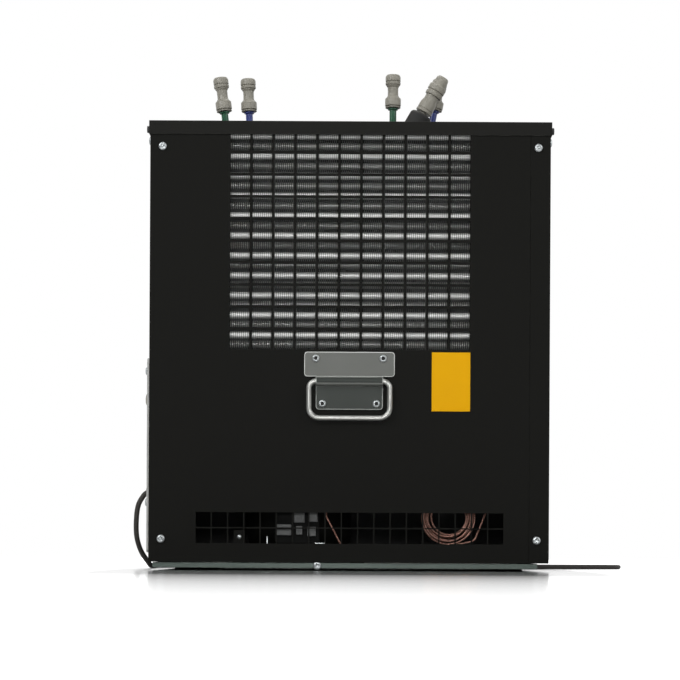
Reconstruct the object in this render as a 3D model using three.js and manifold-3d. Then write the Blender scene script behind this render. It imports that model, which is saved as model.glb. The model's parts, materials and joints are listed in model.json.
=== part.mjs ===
// An under-counter beer cooler, drawn from its service side.
// Millimetres. X runs to the right of the rear panel, Y from the rear panel to the front, Z up.
// The origin is the middle of the footprint, on the surface that the rubber feet stand on.
import * as THREE from 'three';
import { mergeVertices } from 'three/addons/utils/BufferGeometryUtils.js';
import Module from 'manifold-3d';

const wasm = await Module();
wasm.setup();

// Driving dimensions of the cabinet
const BODY_WIDTH = 500;
const BODY_DEPTH = 480;
const LID_TOP_Z = 561;
const LID_SKIRT = 17;
const PANEL_FOOT_Z = 10.2;
const SHEET = 1.2;
const GAP = 0.3;
const FLANGE = 25;
const OVERRUN = 5;

// Base tray and feet
const TRAY_INSET_LEFT = 5;
const TRAY_INSET_RIGHT = 14;
const TRAY_INSET_Y = 2;
const TRAY_SHEET = 1.5;
const FOOT_HEIGHT = 2.7;
const FOOT_RADIUS = 16;
const FOOT_TAPER = 1;
const FOOT_INSET = 45;

// Condenser grille, lower vent and the screws of the rear panel
const GRILLE_ROWS = 10;
const GRILLE_MARGIN = 9;
const GRILLE_PITCH = 27.5;
const GRILLE_BAR = 3.5;
const GRILLE_HOLE = GRILLE_PITCH - GRILLE_BAR;
const GRILLE_FOOT_Z = 276.2;
const VENT_ROWS = 2;
const VENT_MARGIN = 55;
const VENT_PITCH = 20.3;
const VENT_BAR = 1.7;
const VENT_HOLE = VENT_PITCH - VENT_BAR;
const VENT_FOOT_Z = 33.7;
const VENT_SHIFT_X = 1;
const PANEL_SCREW_INSET = 15.5;
const PANEL_SCREW_LOW_Z = 39;
const PANEL_SCREW_HIGH_Z = 529;

// Screws
const SCREW_HEAD_RADIUS = 5;
const SCREW_FACE_RADIUS = 3.5;
const SCREW_HEAD_HEIGHT = 2.4;
const SCREW_SHANK_RADIUS = 2.2;
const SCREW_SOCKET_RADIUS = 1.9;
const SCREW_SOCKET_DEPTH = 1.2;
const SCREW_LENGTH = 9;

// Chest handle, one on the rear panel and one on the front panel
const HANDLE_TOP_Z = 273.2;
const HANDLE_STEP_Z = 242.1;
const HANDLE_FOOT_Z = 201;
const HANDLE_WIDE = 113;
const HANDLE_NARROW = 84;
const HANDLE_SHEET = 2;
const BAIL_WIRE = 7;
const BAIL_AXIS_Z = 236.3;
const BAIL_WIDTH = 108;
const BAIL_FOOT_Z = 187;
const BAIL_BEND = 8;
const BAIL_BEND_STEPS = 4;
const BAIL_PIN_END_X = 12;

// Condenser behind the grille
const TUBE_ROWS = 11;
const TUBE_PITCH = 25;
const TUBE_TOP_Z = 542.6;
const TUBE_DIAMETER = 8;
const ROW_SPACING = 22;
const CORE_SIDE_ROOM = 85;
const CORE_DEPTH = 44;
const CORE_SETBACK = 10;
const CORE_TOP_Z = 553;
const CORE_FOOT_Z = 268;
const FIN_COUNT = 28;
const FIN_SHARE = 0.3;
const END_SHEET = 1.5;

// Tank in the front half, clear of the machinery behind the rear panel
const TANK_SIDE_ROOM = 25;
const TANK_FRONT_ROOM = 4;
const MACHINE_ROOM = 196;
const TANK_TOP_Z = 430;
const TANK_WALL = 25;
const TANK_FLOOR = 40;
const COIL_TUBE = 9.5;

// Beer lines and push-fit connectors
const LINE_DIAMETER = 9.5;
const LINE_BEND_HEIGHT = 34;
const SLEEVE_RADIUS = 15.7;

// Mains lead
const CORD_DIAMETER = 7;

const HALF_WIDTH = BODY_WIDTH / 2;
const REAR_Y = -BODY_DEPTH / 2;
const FRONT_Y = BODY_DEPTH / 2;
const TANK_HALF_WIDTH = HALF_WIDTH - TANK_SIDE_ROOM;
const TANK_REAR_Y = REAR_Y + MACHINE_ROOM;
const TANK_FRONT_Y = FRONT_Y - TANK_FRONT_ROOM;
const PANEL_SCREW_X = HALF_WIDTH - PANEL_SCREW_INSET;
const CORE_WIDTH = BODY_WIDTH - 2 * CORE_SIDE_ROOM;
const GRILLE_COLUMNS = Math.floor((CORE_WIDTH - 2 * GRILLE_MARGIN) / GRILLE_PITCH);
const VENT_COLUMNS = Math.floor((BODY_WIDTH - 2 * VENT_MARGIN) / VENT_PITCH);
const PANEL_TOP_Z = LID_TOP_Z - SHEET - GAP;
const FLOOR_Z = FOOT_HEIGHT + GAP + TRAY_SHEET + GAP;
const DEGREE = Math.PI / 180;

const finish = (color, roughness, metalness) =>
  new THREE.MeshStandardMaterial({ color, roughness, metalness });
const BLACK_COAT = finish('#1d1e1b', 0.5, 0.2);
const LID_COAT = finish('#2b2c2a', 0.45, 0.2);
const GALVANISED = finish('#70746a', 0.5, 0.8);
const BRUSHED = finish('#8f918c', 0.35, 1.0);
const BRIGHT_STEEL = finish('#c4c5c0', 0.25, 1.0);
const ZINC = finish('#b9bab4', 0.35, 1.0);
const ALUMINIUM = finish('#a9aba8', 0.4, 0.9);
const COPPER = finish('#b06b45', 0.35, 1.0);
const BLACK_PLASTIC = finish('#202020', 0.55, 0.0);
const BLACK_RUBBER = finish('#191919', 0.85, 0.0);
const GREY_PLASTIC = finish('#96948a', 0.5, 0.0);
const LIGHT_GREY = finish('#b4b5b2', 0.5, 0.1);
const WHITE_FOAM = finish('#d9dad6', 0.8, 0.0);
const YELLOW = finish('#ebb40a', 0.5, 0.0);
const GREEN_LINE = finish('#2f4a3c', 0.35, 0.0);
const BLUE_LINE = finish('#36406a', 0.35, 0.0);
const CORD_RUBBER = finish('#3a3631', 0.7, 0.0);

const cooler = new THREE.Group();
cooler.name = 'cooler';

// Solids: three.js geometry made closed, joined and cut

function toSolid(geometry) {
  if (!geometry.isBufferGeometry) return geometry;
  const bare = geometry.clone();
  bare.deleteAttribute('normal');
  bare.deleteAttribute('uv');
  const welded = mergeVertices(bare);
  const corners = welded.index.array;
  const kept = [];
  for (let i = 0; i < corners.length; i += 3) {
    const [a, b, c] = corners.subarray(i, i + 3);
    if (a !== b && b !== c && c !== a) kept.push(a, b, c);
  }
  const vertProperties = new Float32Array(welded.attributes.position.array);
  const outward = signedVolume(vertProperties, kept) > 0;
  const triVerts = new Uint32Array(outward ? kept : kept.reverse());
  return new wasm.Manifold(new wasm.Mesh({ numProp: 3, vertProperties, triVerts }));
}

function signedVolume(places, corners) {
  const at = (i) => new THREE.Vector3().fromArray(places, corners[i] * 3);
  let sum = 0;
  for (let i = 0; i < corners.length; i += 3) {
    sum += at(i).dot(at(i + 1).cross(at(i + 2)));
  }
  return sum;
}

function toGeometry(solid) {
  const { vertProperties, triVerts, numProp } = solid.getMesh();
  const places = new Float32Array(triVerts.length * 3);
  triVerts.forEach((vertex, i) => {
    places.set(vertProperties.subarray(vertex * numProp, vertex * numProp + 3), i * 3);
  });
  const geometry = new THREE.BufferGeometry();
  geometry.setAttribute('position', new THREE.BufferAttribute(places, 3));
  geometry.computeVertexNormals();
  return geometry;
}

function join(first, ...rest) {
  return rest.reduce((sum, piece) => sum.add(toSolid(piece)), toSolid(first));
}

function cut(first, ...tools) {
  return tools.reduce((left, tool) => left.subtract(toSolid(tool)), toSolid(first));
}

function add(name, shape, material, parent = cooler) {
  const mesh = new THREE.Mesh(toGeometry(toSolid(shape)), material);
  mesh.name = name;
  parent.add(mesh);
  return mesh;
}

// Building forms

function block([x0, x1], [y0, y1], [z0, z1]) {
  const box = new THREE.BoxGeometry(x1 - x0, y1 - y0, z1 - z0);
  return box.translate((x0 + x1) / 2, (y0 + y1) / 2, (z0 + z1) / 2);
}

function rectangle([x0, x1], [y0, y1], radius = 0, steps = 3) {
  const corners = [[x1, y0, -1], [x1, y1, 0], [x0, y1, 1], [x0, y0, 2]];
  const points = [];
  for (const [x, y, quarter] of corners) {
    const cx = x - Math.sign(x - (x0 + x1) / 2) * radius;
    const cy = y - Math.sign(y - (y0 + y1) / 2) * radius;
    const count = radius > 0 ? steps : 0;
    for (let i = 0; i <= count; i++) {
      const angle = (quarter + i / (count || 1)) * Math.PI / 2;
      points.push(new THREE.Vector2(cx + radius * Math.cos(angle), cy + radius * Math.sin(angle)));
    }
  }
  return points;
}

function outline(points, holes = []) {
  const shape = new THREE.Shape(points);
  shape.holes = holes.map((hole) => new THREE.Path([...hole].reverse()));
  return shape;
}

// A flat plate drawn in plan, from z0 up to z1
function lying(shape, [z0, z1]) {
  const plate = new THREE.ExtrudeGeometry(shape, { depth: z1 - z0, bevelEnabled: false });
  return plate.translate(0, 0, z0);
}

// A plate drawn as X and Z, from y0 to y1
function standing(shape, [y0, y1]) {
  const plate = new THREE.ExtrudeGeometry(shape, { depth: y1 - y0, bevelEnabled: false });
  return plate.rotateX(Math.PI / 2).translate(0, y1, 0);
}

// A section drawn as Y and Z, drawn out from x0 to x1
function drawnOut(shape, [x0, x1]) {
  const bar = new THREE.ExtrudeGeometry(shape, { depth: x1 - x0, bevelEnabled: false });
  return bar.rotateX(Math.PI / 2).rotateZ(Math.PI / 2).translate(x0, 0, 0);
}

function ring(radius, sides, phase = 0) {
  return Array.from({ length: sides }, (_, i) => {
    const angle = phase + i / sides * 2 * Math.PI;
    return new THREE.Vector2(radius * Math.cos(angle), radius * Math.sin(angle));
  });
}

// Turned about Z: the profile lists radius and height from the bottom up
function turned(profile, sides) {
  const points = profile.map(([radius, height]) => new THREE.Vector2(radius, height));
  return new THREE.LatheGeometry(points, sides).rotateX(Math.PI / 2);
}

function rod(radius, [z0, z1], sides) {
  return turned([[0, z0], [radius, z0], [radius, z1], [0, z1]], sides);
}

// A hole whose flats, not its corners, stand at the radius
function bore(radius, span, sides) {
  return rod(radius / Math.cos(Math.PI / sides), span, sides);
}

const alongX = (geometry) => geometry.rotateY(Math.PI / 2);
const alongY = (geometry) => geometry.rotateX(-Math.PI / 2);

// A path whose rings lie exactly at its points
class Route extends THREE.Curve {
  constructor(points) {
    super();
    this.points = points;
  }

  getPoint(t) {
    const place = t * (this.points.length - 1);
    const i = Math.min(Math.floor(place), this.points.length - 2);
    return this.points[i].clone().lerp(this.points[i + 1], place - i);
  }

  getPointAt(u) {
    return this.getPoint(u);
  }

  getTangentAt(u) {
    const i = Math.round(u * (this.points.length - 1));
    const here = this.points[i];
    const before = this.points[Math.max(i - 1, 0)];
    const after = this.points[Math.min(i + 1, this.points.length - 1)];
    const arriving = here.clone().sub(before).normalize();
    const leaving = after.clone().sub(here).normalize();
    return arriving.add(leaving).normalize();
  }

  getSpacedPoints() {
    return this.points;
  }
}

function tube(points, diameter, sides) {
  const section = new THREE.Shape(ring(diameter / 2, sides, Math.PI / sides));
  const steps = points.length - 1;
  return new THREE.ExtrudeGeometry(section, { steps, extrudePath: new Route(points) });
}

const STRAIGHT_ANGLE = 179.9 * DEGREE;

// The corners of a route rounded to a bend radius; where it runs straight on, nothing is bent
function bent(corners, radius, steps) {
  const places = corners.map((place) => new THREE.Vector3(...place));
  const points = [places[0]];
  for (let i = 1; i < places.length - 1; i++) {
    const back = places[i - 1].clone().sub(places[i]).normalize();
    const ahead = places[i + 1].clone().sub(places[i]).normalize();
    const half = back.angleTo(ahead) / 2;
    if (half > STRAIGHT_ANGLE / 2) {
      points.push(places[i]);
      continue;
    }
    const reach = radius / Math.tan(half);
    const toCentre = back.clone().add(ahead).normalize();
    const centre = places[i].clone().addScaledVector(toCentre, radius / Math.sin(half));
    const start = places[i].clone().addScaledVector(back, reach).sub(centre);
    const end = places[i].clone().addScaledVector(ahead, reach).sub(centre);
    const sweep = start.angleTo(end);
    for (let step = 0; step <= steps; step++) {
      const share = step / steps;
      const spoke = start.clone().multiplyScalar(Math.sin((1 - share) * sweep))
        .addScaledVector(end, Math.sin(share * sweep))
        .divideScalar(Math.sin(sweep));
      points.push(spoke.add(centre));
    }
  }
  points.push(places.at(-1));
  return points;
}

// The least clear gap between stretches of one tube that are apart along it
function leastGap(points, diameter, along) {
  let least = Infinity;
  points.forEach((a, i) => {
    let travelled = 0;
    for (let j = i + 1; j < points.length; j++) {
      travelled += points[j].distanceTo(points[j - 1]);
      if (travelled > along) least = Math.min(least, a.distanceTo(points[j]) - diameter);
    }
  });
  return least;
}

// Screws with a recessed pan head, seated on a face that looks to the rear or the front

function screw() {
  const head = turned([
    [0, -SCREW_LENGTH + SCREW_HEAD_HEIGHT],
    [SCREW_SHANK_RADIUS, -SCREW_LENGTH + SCREW_HEAD_HEIGHT],
    [SCREW_SHANK_RADIUS, 0],
    [SCREW_HEAD_RADIUS, 0],
    [SCREW_HEAD_RADIUS, SCREW_HEAD_HEIGHT / 2],
    [SCREW_FACE_RADIUS, SCREW_HEAD_HEIGHT],
    [SCREW_SOCKET_RADIUS, SCREW_HEAD_HEIGHT],
    [SCREW_SOCKET_RADIUS, SCREW_HEAD_HEIGHT - SCREW_SOCKET_DEPTH],
    [0, SCREW_HEAD_HEIGHT - SCREW_SOCKET_DEPTH],
  ], 8);
  return head.rotateX(Math.PI / 2);
}

function screwHole(x, y, z) {
  const hole = bore(SCREW_SHANK_RADIUS + GAP, [-SCREW_LENGTH, SCREW_LENGTH], 8);
  return alongY(hole).translate(x, y, z);
}

const PANEL_SCREWS = [
  [-PANEL_SCREW_X, PANEL_SCREW_LOW_Z],
  [PANEL_SCREW_X, PANEL_SCREW_LOW_Z],
  [-PANEL_SCREW_X, PANEL_SCREW_HIGH_Z],
  [PANEL_SCREW_X, PANEL_SCREW_HIGH_Z],
];

// Cabinet panels

const SEAM_X = HALF_WIDTH - FLANGE;
const BEHIND_REAR = REAR_Y + SHEET + GAP;
const BEHIND_FRONT = FRONT_Y - SHEET - GAP;
const JOGGLE_LAP = 7;
const FLANGE_MARGIN = 3;

const inRearPanel = PANEL_SCREWS.map(([x, z]) => screwHole(x, REAR_Y, z));

function gridHoles(columns, rows, pitch, hole, middleX, footZ) {
  const holes = [];
  for (let row = 0; row < rows; row++) {
    for (let column = 0; column < columns; column++) {
      const x = middleX + (column - (columns - 1) / 2) * pitch;
      const z = footZ + row * pitch;
      holes.push(block(
        [x - hole / 2, x + hole / 2],
        [REAR_Y - OVERRUN, REAR_Y + OVERRUN],
        [z, z + hole],
      ));
    }
  }
  return holes;
}

const HANDLE_UPPER_SCREW_X = 42;
const HANDLE_UPPER_SCREW_Z = 265;
const HANDLE_LOWER_SCREW_X = 33.7;
const HANDLE_LOWER_SCREW_Z = 208.5;
const HANDLE_SCREWS = [
  [-HANDLE_UPPER_SCREW_X, HANDLE_UPPER_SCREW_Z],
  [HANDLE_UPPER_SCREW_X, HANDLE_UPPER_SCREW_Z],
  [-HANDLE_LOWER_SCREW_X, HANDLE_LOWER_SCREW_Z],
  [HANDLE_LOWER_SCREW_X, HANDLE_LOWER_SCREW_Z],
];
const inHandles = HANDLE_SCREWS.map(([x, z]) => screwHole(x, REAR_Y, z));

function rearPanel() {
  const grille = gridHoles(GRILLE_COLUMNS, GRILLE_ROWS, GRILLE_PITCH, GRILLE_HOLE, 0, GRILLE_FOOT_Z);
  const vent = gridHoles(VENT_COLUMNS, VENT_ROWS, VENT_PITCH, VENT_HOLE, VENT_SHIFT_X, VENT_FOOT_Z);
  const skin = block(
    [-HALF_WIDTH, SEAM_X - GAP / 2],
    [REAR_Y, REAR_Y + SHEET],
    [PANEL_FOOT_Z, PANEL_TOP_Z],
  );
  const lap = [PANEL_FOOT_Z + FLANGE, PANEL_TOP_Z - FLANGE_MARGIN];
  const stepX = [SEAM_X - JOGGLE_LAP, SEAM_X - GAP / 2];
  const step = block(stepX, [REAR_Y + SHEET / 2, BEHIND_REAR + SHEET / 2], lap);
  const tab = block(
    [SEAM_X - JOGGLE_LAP, HALF_WIDTH - SHEET - FLANGE_MARGIN],
    [BEHIND_REAR, BEHIND_REAR + SHEET],
    lap,
  );
  return cut(join(skin, step, tab), ...grille, ...vent, ...inRearPanel, ...inHandles);
}

function sidePanel(side, rearFlangeY, flangeInner) {
  const inward = (distance) => side * (HALF_WIDTH - distance);
  const span = (a, b) => [Math.min(a, b), Math.max(a, b)];
  const tall = [PANEL_FOOT_Z, PANEL_TOP_Z];
  const skin = block(span(inward(0), inward(SHEET)), [rearFlangeY, BEHIND_FRONT], tall);
  const rear = block(span(inward(0), side * flangeInner), [rearFlangeY, rearFlangeY + SHEET], tall);
  const front = block(span(inward(0), side * SEAM_X), [BEHIND_FRONT - SHEET, BEHIND_FRONT], tall);
  const foot = block(
    span(inward(0), inward(FLANGE - FLANGE_MARGIN)),
    [BEHIND_REAR + SHEET + GAP, BEHIND_FRONT],
    [PANEL_FOOT_Z, PANEL_FOOT_Z + SHEET],
  );
  return cut(join(skin, rear, front, foot), ...inRearPanel);
}

function frontPanel() {
  const face = rectangle([-HALF_WIDTH, HALF_WIDTH], [PANEL_FOOT_Z, PANEL_TOP_Z]);
  const skin = standing(outline(face), [FRONT_Y - SHEET, FRONT_Y]);
  const holes = HANDLE_SCREWS.map(([x, z]) => screwHole(x, FRONT_Y, z));
  return cut(skin, ...holes);
}

function baseTray() {
  const x = [-HALF_WIDTH + TRAY_INSET_LEFT, HALF_WIDTH - TRAY_INSET_RIGHT];
  const y = [REAR_Y + TRAY_INSET_Y, FRONT_Y - TRAY_INSET_Y];
  const z = [FOOT_HEIGHT + GAP, PANEL_FOOT_Z - GAP];
  const within = ([low, high]) => [low + TRAY_SHEET, high - TRAY_SHEET];
  return cut(block(x, y, z), block(within(x), within(y), [z[0] + TRAY_SHEET, z[1] + OVERRUN]));
}

function foot() {
  return turned([
    [0, 0],
    [FOOT_RADIUS, 0],
    [FOOT_RADIUS - FOOT_TAPER, FOOT_HEIGHT],
    [0, FOOT_HEIGHT],
  ], 16);
}

add('rear_panel', rearPanel(), BLACK_COAT);
add('right_side_panel', sidePanel(1, REAR_Y, SEAM_X + GAP / 2), BLACK_COAT);
add('front_panel', frontPanel(), BLACK_COAT);
add('base_tray', baseTray(), GALVANISED);
[[-1, -1], [1, -1], [-1, 1], [1, 1]].forEach(([sideX, sideY], i) => {
  const rubber = add(`foot_${i + 1}`, foot(), BLACK_RUBBER);
  rubber.position.set(sideX * (HALF_WIDTH - FOOT_INSET), sideY * (FRONT_Y - FOOT_INSET), 0);
});
PANEL_SCREWS.forEach(([x, z], i) => {
  const zinc = add(`panel_screw_${i + 1}`, screw(), ZINC);
  zinc.position.set(x, REAR_Y - GAP, z);
});

// Chest handle: a pressed plate whose rolled bead holds the wire of the drop bail

const BEAD_CLEARANCE = 0.4;
const BEAD_INNER = BAIL_WIRE / 2 + BEAD_CLEARANCE;
const BEAD_OUTER = BEAD_INNER + HANDLE_SHEET;
const WIRE_OUT = BAIL_WIRE / 2 + GAP;
const PLATE_CORNER = 4;

// The plate in its own frame: X along the wall, Y away from it, Z up, wall at Y zero
function handlePlate() {
  const wide = rectangle(
    [-HANDLE_WIDE / 2, HANDLE_WIDE / 2],
    [HANDLE_STEP_Z, HANDLE_TOP_Z],
    PLATE_CORNER,
  );
  const narrow = rectangle(
    [-HANDLE_NARROW / 2, HANDLE_NARROW / 2],
    [HANDLE_FOOT_Z, HANDLE_STEP_Z + 2 * PLATE_CORNER],
    PLATE_CORNER,
  );
  const sheetY = [-GAP - HANDLE_SHEET, -GAP];
  const bead = ring(BEAD_OUTER, 16).map(({ x, y }) => {
    return new THREE.Vector2(Math.min(x - WIRE_OUT, -GAP), y + BAIL_AXIS_Z);
  });
  const beadX = [-HANDLE_NARROW / 2, HANDLE_NARROW / 2];
  const hump = drawnOut(new THREE.Shape(bead), beadX);
  const wireHole = alongX(bore(BEAD_INNER, [-HANDLE_WIDE, HANDLE_WIDE], 12));
  const throat = block(
    [-HANDLE_WIDE, HANDLE_WIDE],
    [-WIRE_OUT, OVERRUN],
    [BAIL_AXIS_Z - BEAD_INNER, BAIL_AXIS_Z + BEAD_INNER],
  );
  const plates = join(standing(outline(wide), sheetY), standing(outline(narrow), sheetY), hump);
  return cut(plates, wireHole.translate(0, -WIRE_OUT, BAIL_AXIS_Z), throat, ...inPlate());
}

function inPlate() {
  return HANDLE_SCREWS.map(([x, z]) => screwHole(x, 0, z));
}

function bail() {
  const legX = (BAIL_WIDTH - BAIL_WIRE) / 2;
  const footZ = BAIL_FOOT_Z + BAIL_WIRE / 2 - BAIL_AXIS_Z;
  const corners = [
    [-BAIL_PIN_END_X, 0, 0],
    [-legX, 0, 0],
    [-legX, 0, footZ],
    [legX, 0, footZ],
    [legX, 0, 0],
    [BAIL_PIN_END_X, 0, 0],
  ];
  return tube(bent(corners, BAIL_BEND, BAIL_BEND_STEPS), BAIL_WIRE, 8);
}

function chestHandle(name, turn, wallY) {
  const place = new THREE.Group();
  place.rotation.z = turn;
  place.position.y = wallY;
  cooler.add(place);
  add(`${name}_handle_plate`, handlePlate(), BRUSHED, place);
  const wire = add(`${name}_handle_bail`, bail(), BRIGHT_STEEL, place);
  wire.position.set(0, -WIRE_OUT, BAIL_AXIS_Z);
}

chestHandle('rear', 0, REAR_Y);
chestHandle('front', Math.PI, FRONT_Y);
HANDLE_SCREWS.forEach(([x, z], i) => {
  const zinc = add(`handle_screw_${i + 1}`, screw(), ZINC);
  zinc.position.set(x, REAR_Y - HANDLE_SHEET - 2 * GAP, z);
});

// Bare yellow plate beside the handle

const LABEL_MIDDLE_X = 126.7;
const LABEL_WIDTH = 48;
const LABEL_FOOT_Z = 199.6;
const LABEL_HEIGHT = 73.6;
const LABEL_THICKNESS = 0.4;

function labelPlate() {
  const face = rectangle(
    [LABEL_MIDDLE_X - LABEL_WIDTH / 2, LABEL_MIDDLE_X + LABEL_WIDTH / 2],
    [LABEL_FOOT_Z, LABEL_FOOT_Z + LABEL_HEIGHT],
  );
  return standing(outline(face), [REAR_Y - GAP - LABEL_THICKNESS, REAR_Y - GAP]);
}

add('yellow_plate', labelPlate(), YELLOW);

// Lid with its line openings and filling hatch

const LID_CLEARANCE = GAP;
const HATCH_MIDDLE_X = -HALF_WIDTH / 2;
const HATCH_SETBACK = 100;
const HATCH_MIDDLE_Y = FRONT_Y - HATCH_SETBACK;
const HATCH_WIDTH = 130;
const HATCH_DEPTH = 110;
const HATCH_CORNER = 16;
const HATCH_RIM = 8;
const HATCH_THICKNESS = 3;
const HATCH_SKIRT = 12;
const HATCH_WALL = 2;
const HATCH_GRIP_LENGTH = 60;
const HATCH_GRIP_WIDTH = 10;
const HATCH_GRIP_HEIGHT = 12;
const GROMMET_LIP = 4;
const GROMMET_RISE = 4;
const GROMMET_DROP = 5;
const GROMMET_CORNER = 10;
const LINE_MARGIN = 8;

const hatchX = (grow) => [
  HATCH_MIDDLE_X - HATCH_WIDTH / 2 - grow,
  HATCH_MIDDLE_X + HATCH_WIDTH / 2 + grow,
];
const hatchY = (grow) => [
  HATCH_MIDDLE_Y - HATCH_DEPTH / 2 - grow,
  HATCH_MIDDLE_Y + HATCH_DEPTH / 2 + grow,
];

// Where the lines stand on the lid
const OUTER_LEFT_LINE_INSET = 77.1;
const INNER_LEFT_LINE_INSET = 111;
const OUTER_LEFT_LINE_X = -HALF_WIDTH + OUTER_LEFT_LINE_INSET;
const INNER_LEFT_LINE_X = -HALF_WIDTH + INNER_LEFT_LINE_INSET;
const INNER_RIGHT_LINE_X = 57.6;
const OUTER_RIGHT_LINE_X = 114;
const LINES_Y = 10;
const OUTER_RIGHT_LINE_Y = 30;
const LEFT_NUT_Z = 625;
const INNER_RIGHT_NUT_Z = 631;
const OUTER_RIGHT_NUT_Z = 632;
const PYTHON_X = 98.4;
const PYTHON_Y = -4;
const PYTHON_NUT_Z = 622;
const PYTHON_BEND_HEIGHT = 56;

// Connectors: where each beer line enters its nut, how far it leans in degrees, and its colour
const CONNECTORS = [
  { x: OUTER_LEFT_LINE_X, y: LINES_Y, z: LEFT_NUT_Z, lean: -7, line: GREEN_LINE },
  { x: INNER_LEFT_LINE_X, y: LINES_Y, z: LEFT_NUT_Z, lean: -2.4, line: BLUE_LINE },
  { x: INNER_RIGHT_LINE_X, y: LINES_Y, z: INNER_RIGHT_NUT_Z, lean: 0, line: GREEN_LINE },
  { x: OUTER_RIGHT_LINE_X, y: OUTER_RIGHT_LINE_Y, z: OUTER_RIGHT_NUT_Z, lean: 8, line: BLUE_LINE },
];
const PYTHON = { x: PYTHON_X, y: PYTHON_Y, z: PYTHON_NUT_Z, lean: 30 };

function leanOf({ lean }) {
  return new THREE.Vector3(Math.sin(lean * DEGREE), 0, Math.cos(lean * DEGREE));
}

// Where a line stands plumb in the lid
function plumbX({ x, lean }, bendHeight) {
  return x - Math.tan(lean * DEGREE) * bendHeight / 2;
}

const leftLines = CONNECTORS.slice(0, 2).map((one) => [plumbX(one, LINE_BEND_HEIGHT), one.y]);
const rightLines = CONNECTORS.slice(2).map((one) => [plumbX(one, LINE_BEND_HEIGHT), one.y]);
const sleeveLine = [plumbX(PYTHON, PYTHON_BEND_HEIGHT), PYTHON.y];

function around(places, margin) {
  const xs = places.map(([x]) => x);
  const ys = places.map(([, y]) => y);
  return [
    [Math.min(...xs) - margin, Math.max(...xs) + margin],
    [Math.min(...ys) - margin, Math.max(...ys) + margin],
  ];
}

const LINE_ROOM = LINE_DIAMETER / 2 + LINE_MARGIN;
const SLEEVE_ROOM = SLEEVE_RADIUS + LINE_MARGIN;
const leftPort = around(leftLines, LINE_ROOM);
const sleeveBox = around([sleeveLine], SLEEVE_ROOM);
const lineBox = around(rightLines, LINE_ROOM);
const rightPort = [0, 1].map((axis) => [
  Math.min(sleeveBox[axis][0], lineBox[axis][0]),
  Math.max(sleeveBox[axis][1], lineBox[axis][1]),
]);
const grown = (port, by) => port.map(([low, high]) => [low - by, high + by]);

// The lid; its top has a flat face of its own behind the grommets, where things are set down
function lid() {
  const half = HALF_WIDTH + LID_CLEARANCE + SHEET;
  const deep = FRONT_Y + LID_CLEARANCE + SHEET;
  const z = [LID_TOP_Z - LID_SKIRT, LID_TOP_Z];
  const inside = block(
    [-half + SHEET, half - SHEET],
    [-deep + SHEET, deep - SHEET],
    [z[0] - OVERRUN, z[1] - SHEET],
  );
  const through = [z[0], z[1] + OVERRUN];
  const hatch = lying(outline(rectangle(hatchX(0), hatchY(0), HATCH_CORNER)), through);
  const ports = [leftPort, rightPort].map((port) => {
    return lying(outline(rectangle(...port, GROMMET_CORNER)), through);
  });
  const clearY = Math.min(leftPort[1][0], rightPort[1][0]) - GROMMET_LIP - LINE_MARGIN;
  const clearPart = block([-half, half], [-deep, clearY + OVERRUN], z);
  const portedPart = block([-half, half], [clearY, deep], z);
  return cut(join(portedPart, clearPart), inside, hatch, ...ports);
}

function hatch() {
  const top = [LID_TOP_Z + GAP, LID_TOP_Z + GAP + HATCH_THICKNESS];
  const plate = lying(outline(rectangle(hatchX(HATCH_RIM), hatchY(HATCH_RIM), HATCH_CORNER)), top);
  const skirtZ = [LID_TOP_Z - HATCH_SKIRT, top[1]];
  const skirtCorner = HATCH_CORNER - GAP;
  const skirt = lying(outline(rectangle(hatchX(-GAP), hatchY(-GAP), skirtCorner)), skirtZ);
  const hollow = lying(
    outline(rectangle(hatchX(-GAP - HATCH_WALL), hatchY(-GAP - HATCH_WALL), skirtCorner - HATCH_WALL)),
    [skirtZ[0] - OVERRUN, top[0]],
  );
  const grip = block(
    [HATCH_MIDDLE_X - HATCH_GRIP_LENGTH / 2, HATCH_MIDDLE_X + HATCH_GRIP_LENGTH / 2],
    [HATCH_MIDDLE_Y - HATCH_GRIP_WIDTH / 2, HATCH_MIDDLE_Y + HATCH_GRIP_WIDTH / 2],
    [top[0], top[1] + HATCH_GRIP_HEIGHT],
  );
  return join(cut(join(plate, skirt), hollow), grip);
}

// A grommet: a lip on the lid and a body through it, with a bore for each line
function grommet(port, bores) {
  const lipZ = [LID_TOP_Z + GAP, LID_TOP_Z + GAP + GROMMET_RISE];
  const bodyZ = [LID_TOP_Z - GROMMET_DROP, lipZ[1]];
  const lip = lying(outline(rectangle(...grown(port, GROMMET_LIP), GROMMET_CORNER)), lipZ);
  const body = lying(outline(rectangle(...grown(port, -GAP), GROMMET_CORNER - GAP)), bodyZ);
  const holes = bores.map(([x, y, radius]) => {
    return bore(radius + GAP, [bodyZ[0] - OVERRUN, bodyZ[1] + OVERRUN], 12).translate(x, y, 0);
  });
  return cut(join(lip, body), ...holes);
}

const lineBore = ([x, y]) => [x, y, LINE_DIAMETER / 2];

add('lid', lid(), LID_COAT);
add('fill_hatch', hatch(), BLACK_PLASTIC);
add('left_grommet', grommet(leftPort, leftLines.map(lineBore)), BLACK_RUBBER);
const rightBores = [...rightLines.map(lineBore), [...sleeveLine, SLEEVE_RADIUS]];
add('right_grommet', grommet(rightPort, rightBores), BLACK_RUBBER);

// Push-fit connectors

const SOCKET_DEPTH = 14;
const SOCKET_CLEARANCE = 0.3;
const MOUTH_DEPTH = 18;
const MOUTH_RADIUS = 4.4;

// Shares of the length, from the nut up to the rounded collar
const CONNECTOR_HEIGHT_SHARES = {
  nutTop: 0.3,
  waistFoot: 0.38,
  waistTop: 0.64,
  lowGroove: 0.68,
  lowCollar: 0.71,
  highGrooveFoot: 0.79,
  highGroove: 0.8,
  highCollar: 0.82,
  brow: 0.93,
};
const GROOVE_RADIUS_SHARE = 0.88;
const CROWN_RADIUS_SHARE = 0.8;
const CONNECTOR_SIDES = 10;

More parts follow.
